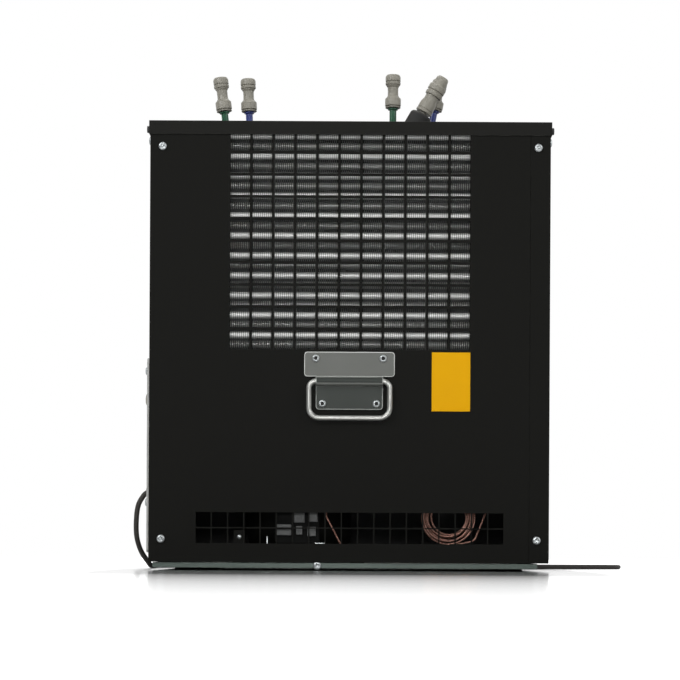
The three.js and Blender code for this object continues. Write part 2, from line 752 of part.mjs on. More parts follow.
function connector(length, collar, nut, waist) {
  const at = (share) => share * length;
  const share = CONNECTOR_HEIGHT_SHARES;
  const groove = collar * GROOVE_RADIUS_SHARE;
  const body = turned([
    [0, 0],
    [nut, 0],
    [nut, at(share.nutTop)],
    [waist, at(share.waistFoot)],
    [waist, at(share.waistTop)],
    [groove, at(share.lowGroove)],
    [collar, at(share.lowCollar)],
    [collar, at(share.highGrooveFoot)],
    [groove, at(share.highGroove)],
    [collar, at(share.highCollar)],
    [collar, at(share.brow)],
    [collar * CROWN_RADIUS_SHARE, length],
    [0, length],
  ], CONNECTOR_SIDES);
  const socket = bore(LINE_DIAMETER / 2 + SOCKET_CLEARANCE, [-OVERRUN, SOCKET_DEPTH], 8);
  const mouth = bore(MOUTH_RADIUS, [length - MOUTH_DEPTH, length + OVERRUN], 8);
  return cut(body, socket, mouth);
}

function seatConnector(name, spec, geometry) {
  const mesh = add(name, geometry, GREY_PLASTIC);
  mesh.position.set(spec.x, spec.y, spec.z);
  mesh.rotation.y = spec.lean * DEGREE;
}

const CONNECTOR_LENGTH = 49.5;
const CONNECTOR_COLLAR = 10.3;
const CONNECTOR_NUT = 10.8;
const CONNECTOR_WAIST = 7.3;
const PYTHON_COLLAR = 12.4;
const PYTHON_NUT = 12.9;
const PYTHON_WAIST = 9;

CONNECTORS.forEach((spec, i) => {
  const body = connector(CONNECTOR_LENGTH, CONNECTOR_COLLAR, CONNECTOR_NUT, CONNECTOR_WAIST);
  seatConnector(`connector_${i + 1}`, spec, body);
});
const wideConnector = connector(CONNECTOR_LENGTH, PYTHON_COLLAR, PYTHON_NUT, PYTHON_WAIST);
seatConnector('python_connector', PYTHON, wideConnector);

// Product coils in the tank and the lines that rise from them

const COIL_SIDE_CLEARANCE = 28;
const COIL_MIDDLE_CLEARANCE = 44;
const COIL_END_CLEARANCE = 32;
const COIL_SHIFT_Y = -1;
const RISER_SWING = 16;
const COIL_MIDDLE_Y = (TANK_REAR_Y + TANK_FRONT_Y) / 2 + COIL_SHIFT_Y;
const PRODUCT_COIL_RADIUS = Math.min(
  (TANK_HALF_WIDTH - TANK_WALL - COIL_SIDE_CLEARANCE - COIL_MIDDLE_CLEARANCE) / 2,
  (TANK_FRONT_Y - TANK_REAR_Y) / 2 - TANK_WALL - COIL_END_CLEARANCE,
);
const COIL_MIDDLE_X = TANK_HALF_WIDTH - TANK_WALL - COIL_SIDE_CLEARANCE - PRODUCT_COIL_RADIUS;
const RISER_RADIUS = PRODUCT_COIL_RADIUS + RISER_SWING;
const RISER_ANGLE = 12;
const PRODUCT_COIL_TURNS = 5;
const PRODUCT_COIL_PITCH = 26;
const RISER_SWING_TURNS = 0.17;
const RISER_STAND = 10;
const RISER_TOP_Z = TANK_TOP_Z + RISER_STAND;
const RISER_BEND = 12;
const TANK_INSIDE_Z = FLOOR_Z + TANK_FLOOR;
const COIL_STEPS = 12;

function productCoil() {
  const first = -90 + RISER_ANGLE;
  const sweep = PRODUCT_COIL_TURNS * 360 - 2 * RISER_ANGLE;
  const footZ = TANK_INSIDE_Z + COIL_TUBE / 2 + GAP;
  const steps = PRODUCT_COIL_TURNS * COIL_STEPS;
  const points = [];
  for (let i = 0; i <= steps; i++) {
    const share = i / steps;
    const turn = share * PRODUCT_COIL_TURNS;
    const fromEnd = Math.min(turn, PRODUCT_COIL_TURNS - turn);
    const outward = Math.max(0, 1 - fromEnd / RISER_SWING_TURNS);
    const radius = PRODUCT_COIL_RADIUS + (RISER_RADIUS - PRODUCT_COIL_RADIUS) * outward;
    const angle = (first + share * sweep) * DEGREE;
    const z = footZ + turn * PRODUCT_COIL_PITCH;
    points.push(new THREE.Vector3(radius * Math.cos(angle), radius * Math.sin(angle), z));
  }
  const risers = [points[0], points.at(-1)].map(({ x, y }) => new THREE.Vector3(x, y, RISER_TOP_Z));
  const rise = (from) => from.clone().setZ(from.z + RISER_BEND);
  return [risers[0], rise(points[0]), ...points, rise(points.at(-1)), risers[1]];
}

const coilRoute = productCoil();
const riserEnds = [coilRoute[0], coilRoute.at(-1)];
[-1, 1].forEach((side, i) => {
  const coil = add(`product_coil_${i + 1}`, tube(coilRoute, COIL_TUBE, 6), BRIGHT_STEEL);
  coil.position.set(side * COIL_MIDDLE_X, COIL_MIDDLE_Y, 0);
});

const LINE_START_Z = RISER_TOP_Z + GAP;
const LINE_RUN_RISE = 20;
const LINE_PLUMB_RISE = 70;
const LINE_BEND = 26;
const LINE_STEPS = 2;
const BEND_STEPS = 4;

// A line from its riser to the socket of its connector
function beerLine(spec, riser) {
  const plumb = plumbX(spec, LINE_BEND_HEIGHT);
  const foot = new THREE.Vector3(spec.x, spec.y, spec.z);
  const tip = foot.clone().addScaledVector(leanOf(spec), SOCKET_DEPTH - GAP);
  const corners = [
    [riser.x, riser.y, LINE_START_Z],
    [riser.x, riser.y, RISER_TOP_Z + LINE_RUN_RISE],
    [plumb, spec.y, RISER_TOP_Z + LINE_PLUMB_RISE],
    [plumb, spec.y, spec.z - LINE_BEND_HEIGHT / 2],
    tip.toArray(),
  ];
  return tube(bent(corners, LINE_BEND, LINE_STEPS), LINE_DIAMETER, 8);
}

CONNECTORS.forEach((spec, i) => {
  const side = i < 2 ? -1 : 1;
  const end = riserEnds[1 - (i % 2)];
  const riser = { x: end.x + side * COIL_MIDDLE_X, y: end.y + COIL_MIDDLE_Y };
  add(`beer_line_${i + 1}`, beerLine(spec, riser), spec.line);
});

// Agitator: a motor on a bridge over the tank, with its shaft and impeller in the water

const MOTOR_RADIUS = 34;
const MOTOR_HEIGHT = 72;
const MOTOR_CHAMFER = 8;
const MOTOR_Y = COIL_MIDDLE_Y;
const BRIDGE_WIDTH = 76;
const BRIDGE_INSET = 4;
const BRIDGE_SHEET = 2.5;
const SHAFT_RADIUS = 4;
const SHAFT_FOOT_Z = 110;
const SHAFT_SOCKET = 20;
const IMPELLER_RADIUS = 18;
const IMPELLER_HEIGHT = 14;
const IMPELLER_BLADE = 2.5;
const BRIDGE_Z = TANK_TOP_Z + GAP;
const PORT_RISE = 22;
const PORT_Z = BRIDGE_Z + BRIDGE_SHEET + PORT_RISE;

function agitatorMotor() {
  const bridge = block(
    [-BRIDGE_WIDTH / 2, BRIDGE_WIDTH / 2],
    [TANK_REAR_Y + BRIDGE_INSET, TANK_FRONT_Y - BRIDGE_INSET],
    [BRIDGE_Z, BRIDGE_Z + BRIDGE_SHEET],
  );
  const top = BRIDGE_Z + MOTOR_HEIGHT;
  const can = turned([
    [0, BRIDGE_Z],
    [MOTOR_RADIUS, BRIDGE_Z],
    [MOTOR_RADIUS, top - MOTOR_CHAMFER],
    [MOTOR_RADIUS - MOTOR_CHAMFER, top],
    [0, top],
  ], 20);
  const socket = bore(SHAFT_RADIUS + GAP, [BRIDGE_Z - OVERRUN, BRIDGE_Z + SHAFT_SOCKET], 10);
  return cut(join(bridge, can.translate(0, MOTOR_Y, 0)), socket.translate(0, MOTOR_Y, 0));
}

function agitator() {
  const shaft = rod(SHAFT_RADIUS, [SHAFT_FOOT_Z, BRIDGE_Z + SHAFT_SOCKET - GAP], 8);
  const blades = [0, 1, 2].map((i) => {
    const blade = block(
      [-IMPELLER_RADIUS, IMPELLER_RADIUS],
      [-IMPELLER_BLADE / 2, IMPELLER_BLADE / 2],
      [SHAFT_FOOT_Z, SHAFT_FOOT_Z + IMPELLER_HEIGHT],
    );
    return blade.rotateZ(i * Math.PI / 3);
  });
  return join(shaft, ...blades);
}

add('agitator_motor', agitatorMotor(), BLACK_COAT);
add('agitator', agitator(), BRIGHT_STEEL).position.set(0, MOTOR_Y, 0);

// Chilled water line in its black foam sleeve

const SLEEVE_FOOT_Z = 505;
const SLEEVE_BEND = 40;
const SLEEVE_PLAY = 0.9;

function pythonCorners(tipReach) {
  const foot = new THREE.Vector3(PYTHON.x, PYTHON.y, PYTHON.z);
  const tip = foot.clone().addScaledVector(leanOf(PYTHON), tipReach);
  return [[...sleeveLine, PYTHON.z - PYTHON_BEND_HEIGHT / 2], tip.toArray()];
}

function pythonLine() {
  const corners = [
    [0, MOTOR_Y - MOTOR_RADIUS - GAP, PORT_Z],
    [0, PYTHON.y, PORT_Z],
    [sleeveLine[0], PYTHON.y, PORT_Z],
    ...pythonCorners(SOCKET_DEPTH - GAP),
  ];
  return tube(bent(corners, LINE_BEND, LINE_STEPS), LINE_DIAMETER, 6);
}

function sleeve() {
  const outer = [[...sleeveLine, SLEEVE_FOOT_Z], ...pythonCorners(-GAP)];
  const inner = [[...sleeveLine, SLEEVE_FOOT_Z - OVERRUN], ...pythonCorners(OVERRUN)];
  const channel = tube(bent(inner, SLEEVE_BEND, BEND_STEPS), LINE_DIAMETER + 2 * SLEEVE_PLAY, 8);
  return cut(tube(bent(outer, SLEEVE_BEND, BEND_STEPS), 2 * SLEEVE_RADIUS, 12), channel);
}

add('python_line', pythonLine(), GREY_PLASTIC);
add('python_sleeve', sleeve(), BLACK_RUBBER);

// Insulated tank with its evaporator

const EVAPORATOR_TURNS = 6;
const EVAPORATOR_PITCH = 28;
const EVAPORATOR_CORNER = 30;
const EVAPORATOR_FOOT_Z = 110;

function tankSpan(inset) {
  return [
    [-TANK_HALF_WIDTH + inset, TANK_HALF_WIDTH - inset],
    [TANK_REAR_Y + inset, TANK_FRONT_Y - inset],
  ];
}

function tank() {
  const outer = block(...tankSpan(0), [FLOOR_Z, TANK_TOP_Z]);
  return cut(outer, block(...tankSpan(TANK_WALL), [TANK_INSIDE_Z, TANK_TOP_Z + OVERRUN]));
}

function evaporator() {
  const [spanX, spanY] = tankSpan(TANK_WALL + COIL_TUBE / 2 + GAP);
  const loop = rectangle(spanX, spanY, EVAPORATOR_CORNER, 1);
  const count = EVAPORATOR_TURNS * loop.length;
  return Array.from({ length: count }, (_, i) => {
    const { x, y } = loop[i % loop.length];
    return new THREE.Vector3(x, y, EVAPORATOR_FOOT_Z + i / loop.length * EVAPORATOR_PITCH);
  });
}

add('insulated_tank', tank(), WHITE_FOAM);
add('evaporator_coil', tube(evaporator(), COIL_TUBE, 6), COPPER);

// Condenser: a fin pack on two staggered rows of tubes that return in bends past its ends

const CORE_REAR = REAR_Y + SHEET + CORE_SETBACK;
const CORE_BACK = CORE_REAR + CORE_DEPTH;
const TUBE_FRONT_Y = CORE_REAR + (CORE_DEPTH - ROW_SPACING) / 2;
const TUBE_BACK_Y = TUBE_FRONT_Y + ROW_SPACING;
const TUBE_RADIUS = TUBE_DIAMETER / 2;
const CORE_END_X = CORE_WIDTH / 2 + END_SHEET;
const TUBE_OVERHANG = 2;
const TUBE_END_X = CORE_END_X + TUBE_OVERHANG;
const BRACKET_FLANGE = 14;
const RAIL_CLEAR = TUBE_RADIUS + GAP;

const frontTubes = Array.from({ length: TUBE_ROWS }, (_, i) => TUBE_TOP_Z - i * TUBE_PITCH);
const backTubes = frontTubes.map((z) => z - TUBE_PITCH / 2);

function finPack() {
  const half = CORE_WIDTH / 2;
  const tubeBack = TUBE_FRONT_Y + RAIL_CLEAR;
  const tubeFront = TUBE_FRONT_Y - RAIL_CLEAR;
  const lowRail = frontTubes.at(-1) - RAIL_CLEAR;
  const pitch = CORE_WIDTH / FIN_COUNT;
  const whole = block([-half, half], [CORE_REAR, CORE_BACK], [CORE_FOOT_Z, CORE_TOP_Z]);
  const channel = block(
    [-half - OVERRUN, half + OVERRUN],
    [tubeFront, tubeBack],
    [lowRail, TUBE_TOP_Z + RAIL_CLEAR],
  );
  const slots = Array.from({ length: FIN_COUNT - 1 }, (_, i) => {
    const x = -half + (i + 1) * pitch;
    const wide = pitch * (1 - FIN_SHARE) / 2;
    return block(
      [x - wide, x + wide],
      [CORE_REAR - OVERRUN, TUBE_FRONT_Y],
      [lowRail, TUBE_TOP_Z + RAIL_CLEAR],
    );
  });
  const bores = backTubes.map((z) => {
    return alongX(bore(TUBE_RADIUS + GAP, [-half - OVERRUN, half + OVERRUN], 6))
      .translate(0, TUBE_BACK_Y, z);
  });
  const fins = cut(whole, channel, ...slots, ...bores);
  return join(fins, endSheet(-1), endSheet(1));
}

// An end sheet with a hole for each tube and a flange against the rear panel
function endSheet(side) {
  const span = (a, b) => [Math.min(a, b), Math.max(a, b)];
  const inner = side * CORE_WIDTH / 2;
  const outer = side * CORE_END_X;
  const flangeY = BEHIND_REAR;
  const plate = block(span(inner, outer), [flangeY, CORE_BACK], [CORE_FOOT_Z, CORE_TOP_Z]);
  const flange = block(
    span(inner, outer + side * BRACKET_FLANGE),
    [flangeY, flangeY + SHEET],
    [CORE_FOOT_Z, CORE_TOP_Z],
  );
  const holes = [
    ...frontTubes.map((z) => [TUBE_FRONT_Y, z]),
    ...backTubes.map((z) => [TUBE_BACK_Y, z]),
  ];
  const bores = holes.map(([y, z]) => {
    return alongX(bore(TUBE_RADIUS + GAP, span(inner - side * OVERRUN, outer + side * OVERRUN), 6))
      .translate(0, y, z);
  });
  return cut(join(plate, flange), ...bores);
}

const LEAD_ROOM = 33.5;
const DRIER_ROOM = 25.5;
const LEAD_X = -CORE_END_X - LEAD_ROOM;
const DRIER_X = -CORE_END_X - DRIER_ROOM;
const DRIER_TOP_Z = 236;

// Compressor and its fittings
const POT_X = -65;
const POT_SETBACK = 112;
const POT_Y = REAR_Y + POT_SETBACK;
const POT_RADIUS = 68;
const POT_FOOT_Z = 24;
const POT_TOP_Z = 190;
const POT_SEAM_Z = 118;
const POT_SEAM = 4;
const POT_DOME = 34;
const POT_FOOT_SHARE = 0.72;
const POT_SHOULDER_SHARE = 0.84;
const POT_CROWN_SHARE = 0.5;
const POT_BRACKET_WIDTH = 170;
const POT_BRACKET_DEPTH = 116;
const POT_BRACKET_SHEET = 3;
const POT_STUD_RADIUS = 9;
const DISCHARGE_Z = 150;
const SUCTION_Z = 96;
const SUCTION_TOP_Z = 390;
const SUCTION_REACH = 68;
const SUCTION_SETBACK = 32;
const LEAD_BEND = 16;

// One unbroken tube: the discharge lead, all runs and bends, and the liquid lead to the drier
function condenserRoute() {
  const bendRadius = Math.hypot(ROW_SPACING, TUBE_PITCH / 2) / 2;
  const runs = [];
  frontTubes.forEach((z, i) => {
    runs.push([TUBE_FRONT_Y, z], [TUBE_BACK_Y, backTubes[i]]);
  });
  const discharge = [
    [POT_X - POT_RADIUS - GAP, POT_Y, DISCHARGE_Z],
    [LEAD_X, POT_Y, DISCHARGE_Z],
    [LEAD_X, POT_Y, TUBE_TOP_Z],
    [LEAD_X, TUBE_FRONT_Y, TUBE_TOP_Z],
    [-TUBE_END_X, TUBE_FRONT_Y, TUBE_TOP_Z],
  ];
  const points = bent(discharge, LEAD_BEND, LINE_STEPS);
  runs.forEach(([y, z], i) => {
    const side = i % 2 === 0 ? 1 : -1;
    points.push(new THREE.Vector3(side * TUBE_END_X, y, z));
    if (i === runs.length - 1) return;
    const [nextY, nextZ] = runs[i + 1];
    const middle = new THREE.Vector3(side * TUBE_END_X, (y + nextY) / 2, (z + nextZ) / 2);
    const spoke = new THREE.Vector3(0, y, z).sub(middle).setX(0);
    const outward = new THREE.Vector3(side, 0, 0);
    for (let step = 1; step <= BEND_STEPS; step++) {
      const angle = step / BEND_STEPS * Math.PI;
      points.push(middle.clone()
        .addScaledVector(spoke, Math.cos(angle))
        .addScaledVector(outward, bendRadius * Math.sin(angle)));
    }
  });
  const last = points.pop();
  const liquid = [
    last.toArray(),
    [DRIER_X, TUBE_BACK_Y, last.z],
    [DRIER_X, TUBE_BACK_Y, DRIER_TOP_Z + GAP],
  ];
  return [...points, ...bent(liquid, LEAD_BEND, LINE_STEPS)];
}

add('condenser_fins', finPack(), ALUMINIUM);
add('condenser_tubes', tube(condenserRoute(), TUBE_DIAMETER, 6), COPPER);

// Fan behind the condenser

const FAN_Z = 410;
const SHROUD_DEPTH = 24;
const SHROUD_HOLE = 112;
const STRAP_X = 124;
const STRAP_DEPTH = 34;
const STRAP_HEIGHT = 22;
const HUB_RADIUS = 22;
const HUB_LENGTH = 22;
const FAN_SETBACK = 8;
const FAN_RADIUS = 104;
const FAN_BLADES = 5;
const BLADE_ROOT_RADIUS = 17.6;
const BLADE_TIP_STEPS = 4;
const BLADE_SPREAD = 26;
const BLADE_TWIST = 28;
const BLADE_SHEET = 1.6;
const FAN_SHAFT_RADIUS = 4;
const FAN_SHAFT_SOCKET = 16;
const FAN_MOTOR_RADIUS = 30;
const FAN_MOTOR_LENGTH = 46;

const SHROUD_FRONT = CORE_BACK + GAP;
const SHROUD_BACK = SHROUD_FRONT + SHROUD_DEPTH;
const STRAP_BACK = SHROUD_BACK + STRAP_DEPTH;

function fanShroud() {
  const z = [CORE_FOOT_Z, CORE_TOP_Z];
  const inner = (span) => [span[0] + SHEET, span[1] - SHEET];
  const x = [-CORE_END_X, CORE_END_X];
  const shell = cut(
    block(x, [SHROUD_FRONT, SHROUD_BACK], z),
    block(inner(x), [SHROUD_FRONT - OVERRUN, SHROUD_BACK - SHEET], inner(z)),
    alongY(rod(SHROUD_HOLE, [-SHROUD_DEPTH, SHROUD_DEPTH], 24)).translate(0, SHROUD_BACK, FAN_Z),
  );
  const tall = [FAN_Z - STRAP_HEIGHT / 2, FAN_Z + STRAP_HEIGHT / 2];
  const legs = [-1, 1].map((side) => {
    const legX = [side * STRAP_X - SHEET, side * STRAP_X + SHEET];
    return block(legX, [SHROUD_BACK - SHEET / 2, STRAP_BACK], tall);
  });
  const bar = block([-STRAP_X, STRAP_X], [STRAP_BACK - 2 * SHEET, STRAP_BACK], tall);
  const hole = alongY(bore(FAN_SHAFT_RADIUS + SHEET, [-SHROUD_DEPTH, SHROUD_DEPTH], 12));
  return cut(join(shell, ...legs, bar), hole.translate(0, STRAP_BACK, FAN_Z));
}

function fanBlade() {
  const hubY = [-HUB_LENGTH / 2, HUB_LENGTH / 2];
  const reach = STRAP_BACK - SHROUD_BACK - FAN_SETBACK + GAP + FAN_SHAFT_SOCKET;
  const hub = alongY(rod(HUB_RADIUS, hubY, 16));
  const shaft = alongY(rod(FAN_SHAFT_RADIUS, [0, reach], 8));
  const spread = BLADE_SPREAD * DEGREE;
  const blades = Array.from({ length: FAN_BLADES }, (_, i) => {
    const tip = Array.from({ length: BLADE_TIP_STEPS + 1 }, (_, k) => {
      const angle = (2 * k / BLADE_TIP_STEPS - 1) * spread;
      return new THREE.Vector2(FAN_RADIUS * Math.sin(angle), FAN_RADIUS * Math.cos(angle));
    });
    const sector = new THREE.Shape([
      new THREE.Vector2(HUB_RADIUS / 3, BLADE_ROOT_RADIUS),
      new THREE.Vector2(-HUB_RADIUS / 3, BLADE_ROOT_RADIUS),
      ...tip,
    ]);
    const blade = standing(sector, [-BLADE_SHEET / 2, BLADE_SHEET / 2]);
    return blade.rotateZ(BLADE_TWIST * DEGREE).rotateY(i / FAN_BLADES * 2 * Math.PI);
  });
  const within = alongY(rod(FAN_RADIUS + OVERRUN, [-HUB_LENGTH, HUB_LENGTH], 32));
  return join(hub, shaft, ...blades.map((blade) => toSolid(blade).intersect(toSolid(within))));
}

function fanMotor() {
  const length = [0, FAN_MOTOR_LENGTH];
  const can = alongY(turned([
    [0, length[0]],
    [FAN_MOTOR_RADIUS, length[0]],
    [FAN_MOTOR_RADIUS, length[1] - MOTOR_CHAMFER],
    [FAN_MOTOR_RADIUS - MOTOR_CHAMFER, length[1]],
    [0, length[1]],
  ], 20));
  const socket = alongY(bore(FAN_SHAFT_RADIUS + GAP, [-OVERRUN, FAN_SHAFT_SOCKET + 2 * GAP], 10));
  return cut(can, socket);
}

add('fan_shroud', fanShroud(), BLACK_COAT);
add('fan_blade', fanBlade(), ALUMINIUM).position.set(0, SHROUD_BACK + FAN_SETBACK, FAN_Z);
add('fan_motor', fanMotor(), BLACK_COAT).position.set(0, STRAP_BACK + GAP, FAN_Z);

// Compressor, relay box, drier and the lines between them

function compressor() {
  const pot = turned([
    [0, POT_FOOT_Z],
    [POT_RADIUS * POT_FOOT_SHARE, POT_FOOT_Z],
    [POT_RADIUS, POT_FOOT_Z + POT_DOME],
    [POT_RADIUS, POT_SEAM_Z],
    [POT_RADIUS + POT_SEAM, POT_SEAM_Z],
    [POT_RADIUS + POT_SEAM, POT_SEAM_Z + POT_SEAM],
    [POT_RADIUS, POT_SEAM_Z + POT_SEAM],
    [POT_RADIUS, POT_TOP_Z - POT_DOME],
    [POT_RADIUS * POT_SHOULDER_SHARE, POT_TOP_Z - POT_DOME / 3],
    [POT_RADIUS * POT_CROWN_SHARE, POT_TOP_Z],
    [0, POT_TOP_Z],
  ], 18);
  const half = [POT_BRACKET_WIDTH / 2, POT_BRACKET_DEPTH / 2];
  const bracketZ = [POT_FOOT_Z - POT_BRACKET_SHEET, POT_FOOT_Z + POT_BRACKET_SHEET];
  const bracket = block([-half[0], half[0]], [-half[1], half[1]], bracketZ);
  const studs = [[-1, -1], [1, -1], [-1, 1], [1, 1]].map(([sideX, sideY]) => {
    return rod(POT_STUD_RADIUS, [FLOOR_Z, POT_FOOT_Z], 10).translate(
      sideX * (half[0] - POT_STUD_RADIUS),
      sideY * (half[1] - POT_STUD_RADIUS),
      0,
    );
  });
  return join(pot, bracket, ...studs);
}

const RELAY_WIDTH = 56;
const RELAY_FOOT_Z = 34;
const RELAY_TOP_Z = 104;
const RELAY_DEPTH = 26;
const RELAY_CORNER = 4;

function relayBox() {
  const back = POT_Y - POT_RADIUS - GAP;
  const face = rectangle(
    [POT_X + GAP - RELAY_WIDTH / 2, POT_X + GAP + RELAY_WIDTH / 2],
    [RELAY_FOOT_Z, RELAY_TOP_Z],
    RELAY_CORNER,
  );
  return standing(outline(face), [back - RELAY_DEPTH, back]);
}

const DRIER_RADIUS = 10;
const DRIER_FOOT_RADIUS = 4;
const DRIER_CROWN_RADIUS = 6;
const DRIER_LENGTH = 100;
const CAPILLARY = 2.5;
const CAPILLARY_PITCH = 3.3;
const CAPILLARY_LOOPS_A_LAYER = 3;
const CAPILLARY_OUTER = 27.5;
const CAPILLARY_X = 125;
const CAPILLARY_SETBACK = 16;
const CAPILLARY_Y = REAR_Y + CAPILLARY_SETBACK;
const CAPILLARY_Z = 61;
const CAPILLARY_BEND = 12.8;
const CAPILLARY_EXIT_INSET = 44;
const CAPILLARY_EXIT_X = TANK_HALF_WIDTH - CAPILLARY_EXIT_INSET;
const CAPILLARY_EXIT_Z = 164;
const LOOP_STEPS = 24;

function drier() {
  const foot = DRIER_TOP_Z - DRIER_LENGTH;
  return turned([
    [0, foot],
    [DRIER_FOOT_RADIUS, foot],
    [DRIER_RADIUS, foot + DRIER_RADIUS],
    [DRIER_RADIUS, DRIER_TOP_Z - DRIER_RADIUS],
    [DRIER_CROWN_RADIUS, DRIER_TOP_Z],
    [0, DRIER_TOP_Z],
  ], 14).translate(DRIER_X, TUBE_BACK_Y, 0);
}

// Loops in two layers: the spiral winds in, climbs a layer in half a turn, and winds out again
function twoLayerLoops(outer, pitch, layerStep, loops, firstAngle) {
  const steps = loops * 2 * LOOP_STEPS;
  return Array.from({ length: steps + 1 }, (_, i) => {
    const turn = i / LOOP_STEPS;
    const inward = loops - Math.abs(turn - loops);
    const radius = outer - pitch * inward;
    const climb = THREE.MathUtils.clamp(turn - loops + 0.5, 0, 1);
    const angle = firstAngle + turn * 2 * Math.PI;
    return [radius * Math.cos(angle), radius * Math.sin(angle), climb * layerStep];
  });
}

function capillaryRoute() {
  const loops = twoLayerLoops(
    CAPILLARY_OUTER,
    CAPILLARY_PITCH,
    CAPILLARY_PITCH,
    CAPILLARY_LOOPS_A_LAYER,
    -Math.PI / 2,
  ).map(([across, up, deep]) => {
    return new THREE.Vector3(CAPILLARY_X + across, CAPILLARY_Y + deep, CAPILLARY_Z + up);
  });
  const footZ = CAPILLARY_Z - CAPILLARY_OUTER;
  const leadIn = bent([
    [DRIER_X, TUBE_BACK_Y, DRIER_TOP_Z - DRIER_LENGTH - GAP],
    [DRIER_X, TUBE_BACK_Y, RELAY_TOP_Z + LEAD_BEND],
    [DRIER_X + 2 * LEAD_BEND, CAPILLARY_Y, RELAY_TOP_Z + LEAD_BEND],
    [POT_X + RELAY_WIDTH / 2 + LEAD_BEND / 2, CAPILLARY_Y, RELAY_TOP_Z + LEAD_BEND],
    [POT_X + RELAY_WIDTH, CAPILLARY_Y, footZ],
    [CAPILLARY_X - LEAD_BEND, CAPILLARY_Y, footZ],
  ], CAPILLARY_BEND, LINE_STEPS);
  const last = loops.at(-1);
  const leadOut = bent([
    [CAPILLARY_X + LEAD_BEND, last.y, last.z],
    [CAPILLARY_EXIT_X, last.y, last.z],
    [CAPILLARY_EXIT_X, last.y, CAPILLARY_EXIT_Z],
    [CAPILLARY_EXIT_X, TANK_REAR_Y - GAP, CAPILLARY_EXIT_Z],
  ], CAPILLARY_BEND, LINE_STEPS);
  return [...leadIn, ...loops, ...leadOut];
}

function suctionRoute() {
  const wallX = POT_X + POT_RADIUS;
  const riseX = wallX + SUCTION_REACH;
  return bent([
    [wallX + GAP, POT_Y, SUCTION_Z],
    [riseX, POT_Y, SUCTION_Z],
    [riseX, TANK_REAR_Y - SUCTION_SETBACK, SUCTION_Z],
    [riseX, TANK_REAR_Y - SUCTION_SETBACK, SUCTION_TOP_Z],
    [riseX, TANK_REAR_Y - GAP, SUCTION_TOP_Z],
  ], LEAD_BEND, LINE_STEPS);
}

const pot = add('compressor', compressor(), BLACK_COAT);
pot.position.set(POT_X, POT_Y, 0);
add('relay_box', relayBox(), BLACK_PLASTIC);
add('filter_drier', drier(), COPPER);
const capillary = capillaryRoute();
add('capillary_coil', tube(capillary, CAPILLARY, 6), COPPER);
add('suction_line', tube(suctionRoute(), COIL_TUBE, 6), BLACK_RUBBER);

// Control cover on the left side with its rocker switch and thermostat knob

const COVER_SETBACK = 15;
const COVER_LENGTH = 201;
const COVER_REAR_Y = REAR_Y + COVER_SETBACK;
const COVER_FRONT_Y = COVER_REAR_Y + COVER_LENGTH;
const COVER_FOOT_Z = 22;
const COVER_TOP_Z = 266;
const COVER_THICKNESS = 3.7;
const COVER_CORNER = 6;
const CONTROL_SETBACK = 35;
const SWITCH_Y = COVER_REAR_Y + CONTROL_SETBACK;
const SWITCH_Z = 257;
const SWITCH_WIDTH = 20;
const SWITCH_HEIGHT = 12;
const SWITCH_RISE = 2.6;
const SWITCH_LIFT = 1.8;
const SWITCH_DEPTH = 3;
const KNOB_Y = COVER_REAR_Y + CONTROL_SETBACK;
const KNOB_Z = 216;
const KNOB_RADIUS = 9;
const KNOB_RISE = 4.6;
const KNOB_SHOULDER_SHARE = 0.8;
const KNOB_CROWN_SHARE = 0.45;
const KNOB_STEM = 3;
const KNOB_STEM_LENGTH = 9;
const COVER_FACE_X = -HALF_WIDTH - GAP - COVER_THICKNESS;

function sideCuts() {
  const room = 2 * OVERRUN;
  const x = [-HALF_WIDTH - room, -HALF_WIDTH + room];
  const slot = block(
    x,
    [SWITCH_Y - SWITCH_WIDTH / 2 - SHEET, SWITCH_Y + SWITCH_WIDTH / 2 + SHEET],
    [SWITCH_Z - SWITCH_HEIGHT / 2 - SHEET, SWITCH_Z + SWITCH_HEIGHT / 2 + SHEET],
  );
  const stem = alongX(bore(KNOB_STEM + SHEET, x, 8)).translate(0, KNOB_Y, KNOB_Z);
  return [slot, stem];
}

function controlCover() {
  const face = rectangle([COVER_REAR_Y, COVER_FRONT_Y], [COVER_FOOT_Z, COVER_TOP_Z], COVER_CORNER);
  const plate = drawnOut(outline(face), [COVER_FACE_X, -HALF_WIDTH - GAP]);
  const x = [COVER_FACE_X - OVERRUN, -HALF_WIDTH];
  const slot = block(
    x,
    [SWITCH_Y - SWITCH_WIDTH / 2 - GAP, SWITCH_Y + SWITCH_WIDTH / 2 + GAP],
    [SWITCH_Z - SWITCH_HEIGHT / 2 - GAP, SWITCH_Z + SWITCH_HEIGHT / 2 + GAP],
  );
  const stem = alongX(bore(KNOB_STEM + GAP, x, 8)).translate(0, KNOB_Y, KNOB_Z);
  return cut(plate, slot, stem);
}

// The rocker in its own frame: the pivot at the origin, its face towards minus X
function rocker() {
  const half = SWITCH_WIDTH / 2;
  const tip = half - SHEET / 2;
  const section = outline([
    new THREE.Vector2(-tip, -SWITCH_RISE - SWITCH_LIFT),
    new THREE.Vector2(0, -SWITCH_RISE),
    new THREE.Vector2(tip, -SWITCH_RISE),
    new THREE.Vector2(half - SHEET, SWITCH_DEPTH),
    new THREE.Vector2(-half + SHEET, SWITCH_DEPTH),
  ]);
  const prism = lying(section, [-SWITCH_HEIGHT / 2, SWITCH_HEIGHT / 2]);
  return prism.rotateZ(-Math.PI / 2);
}

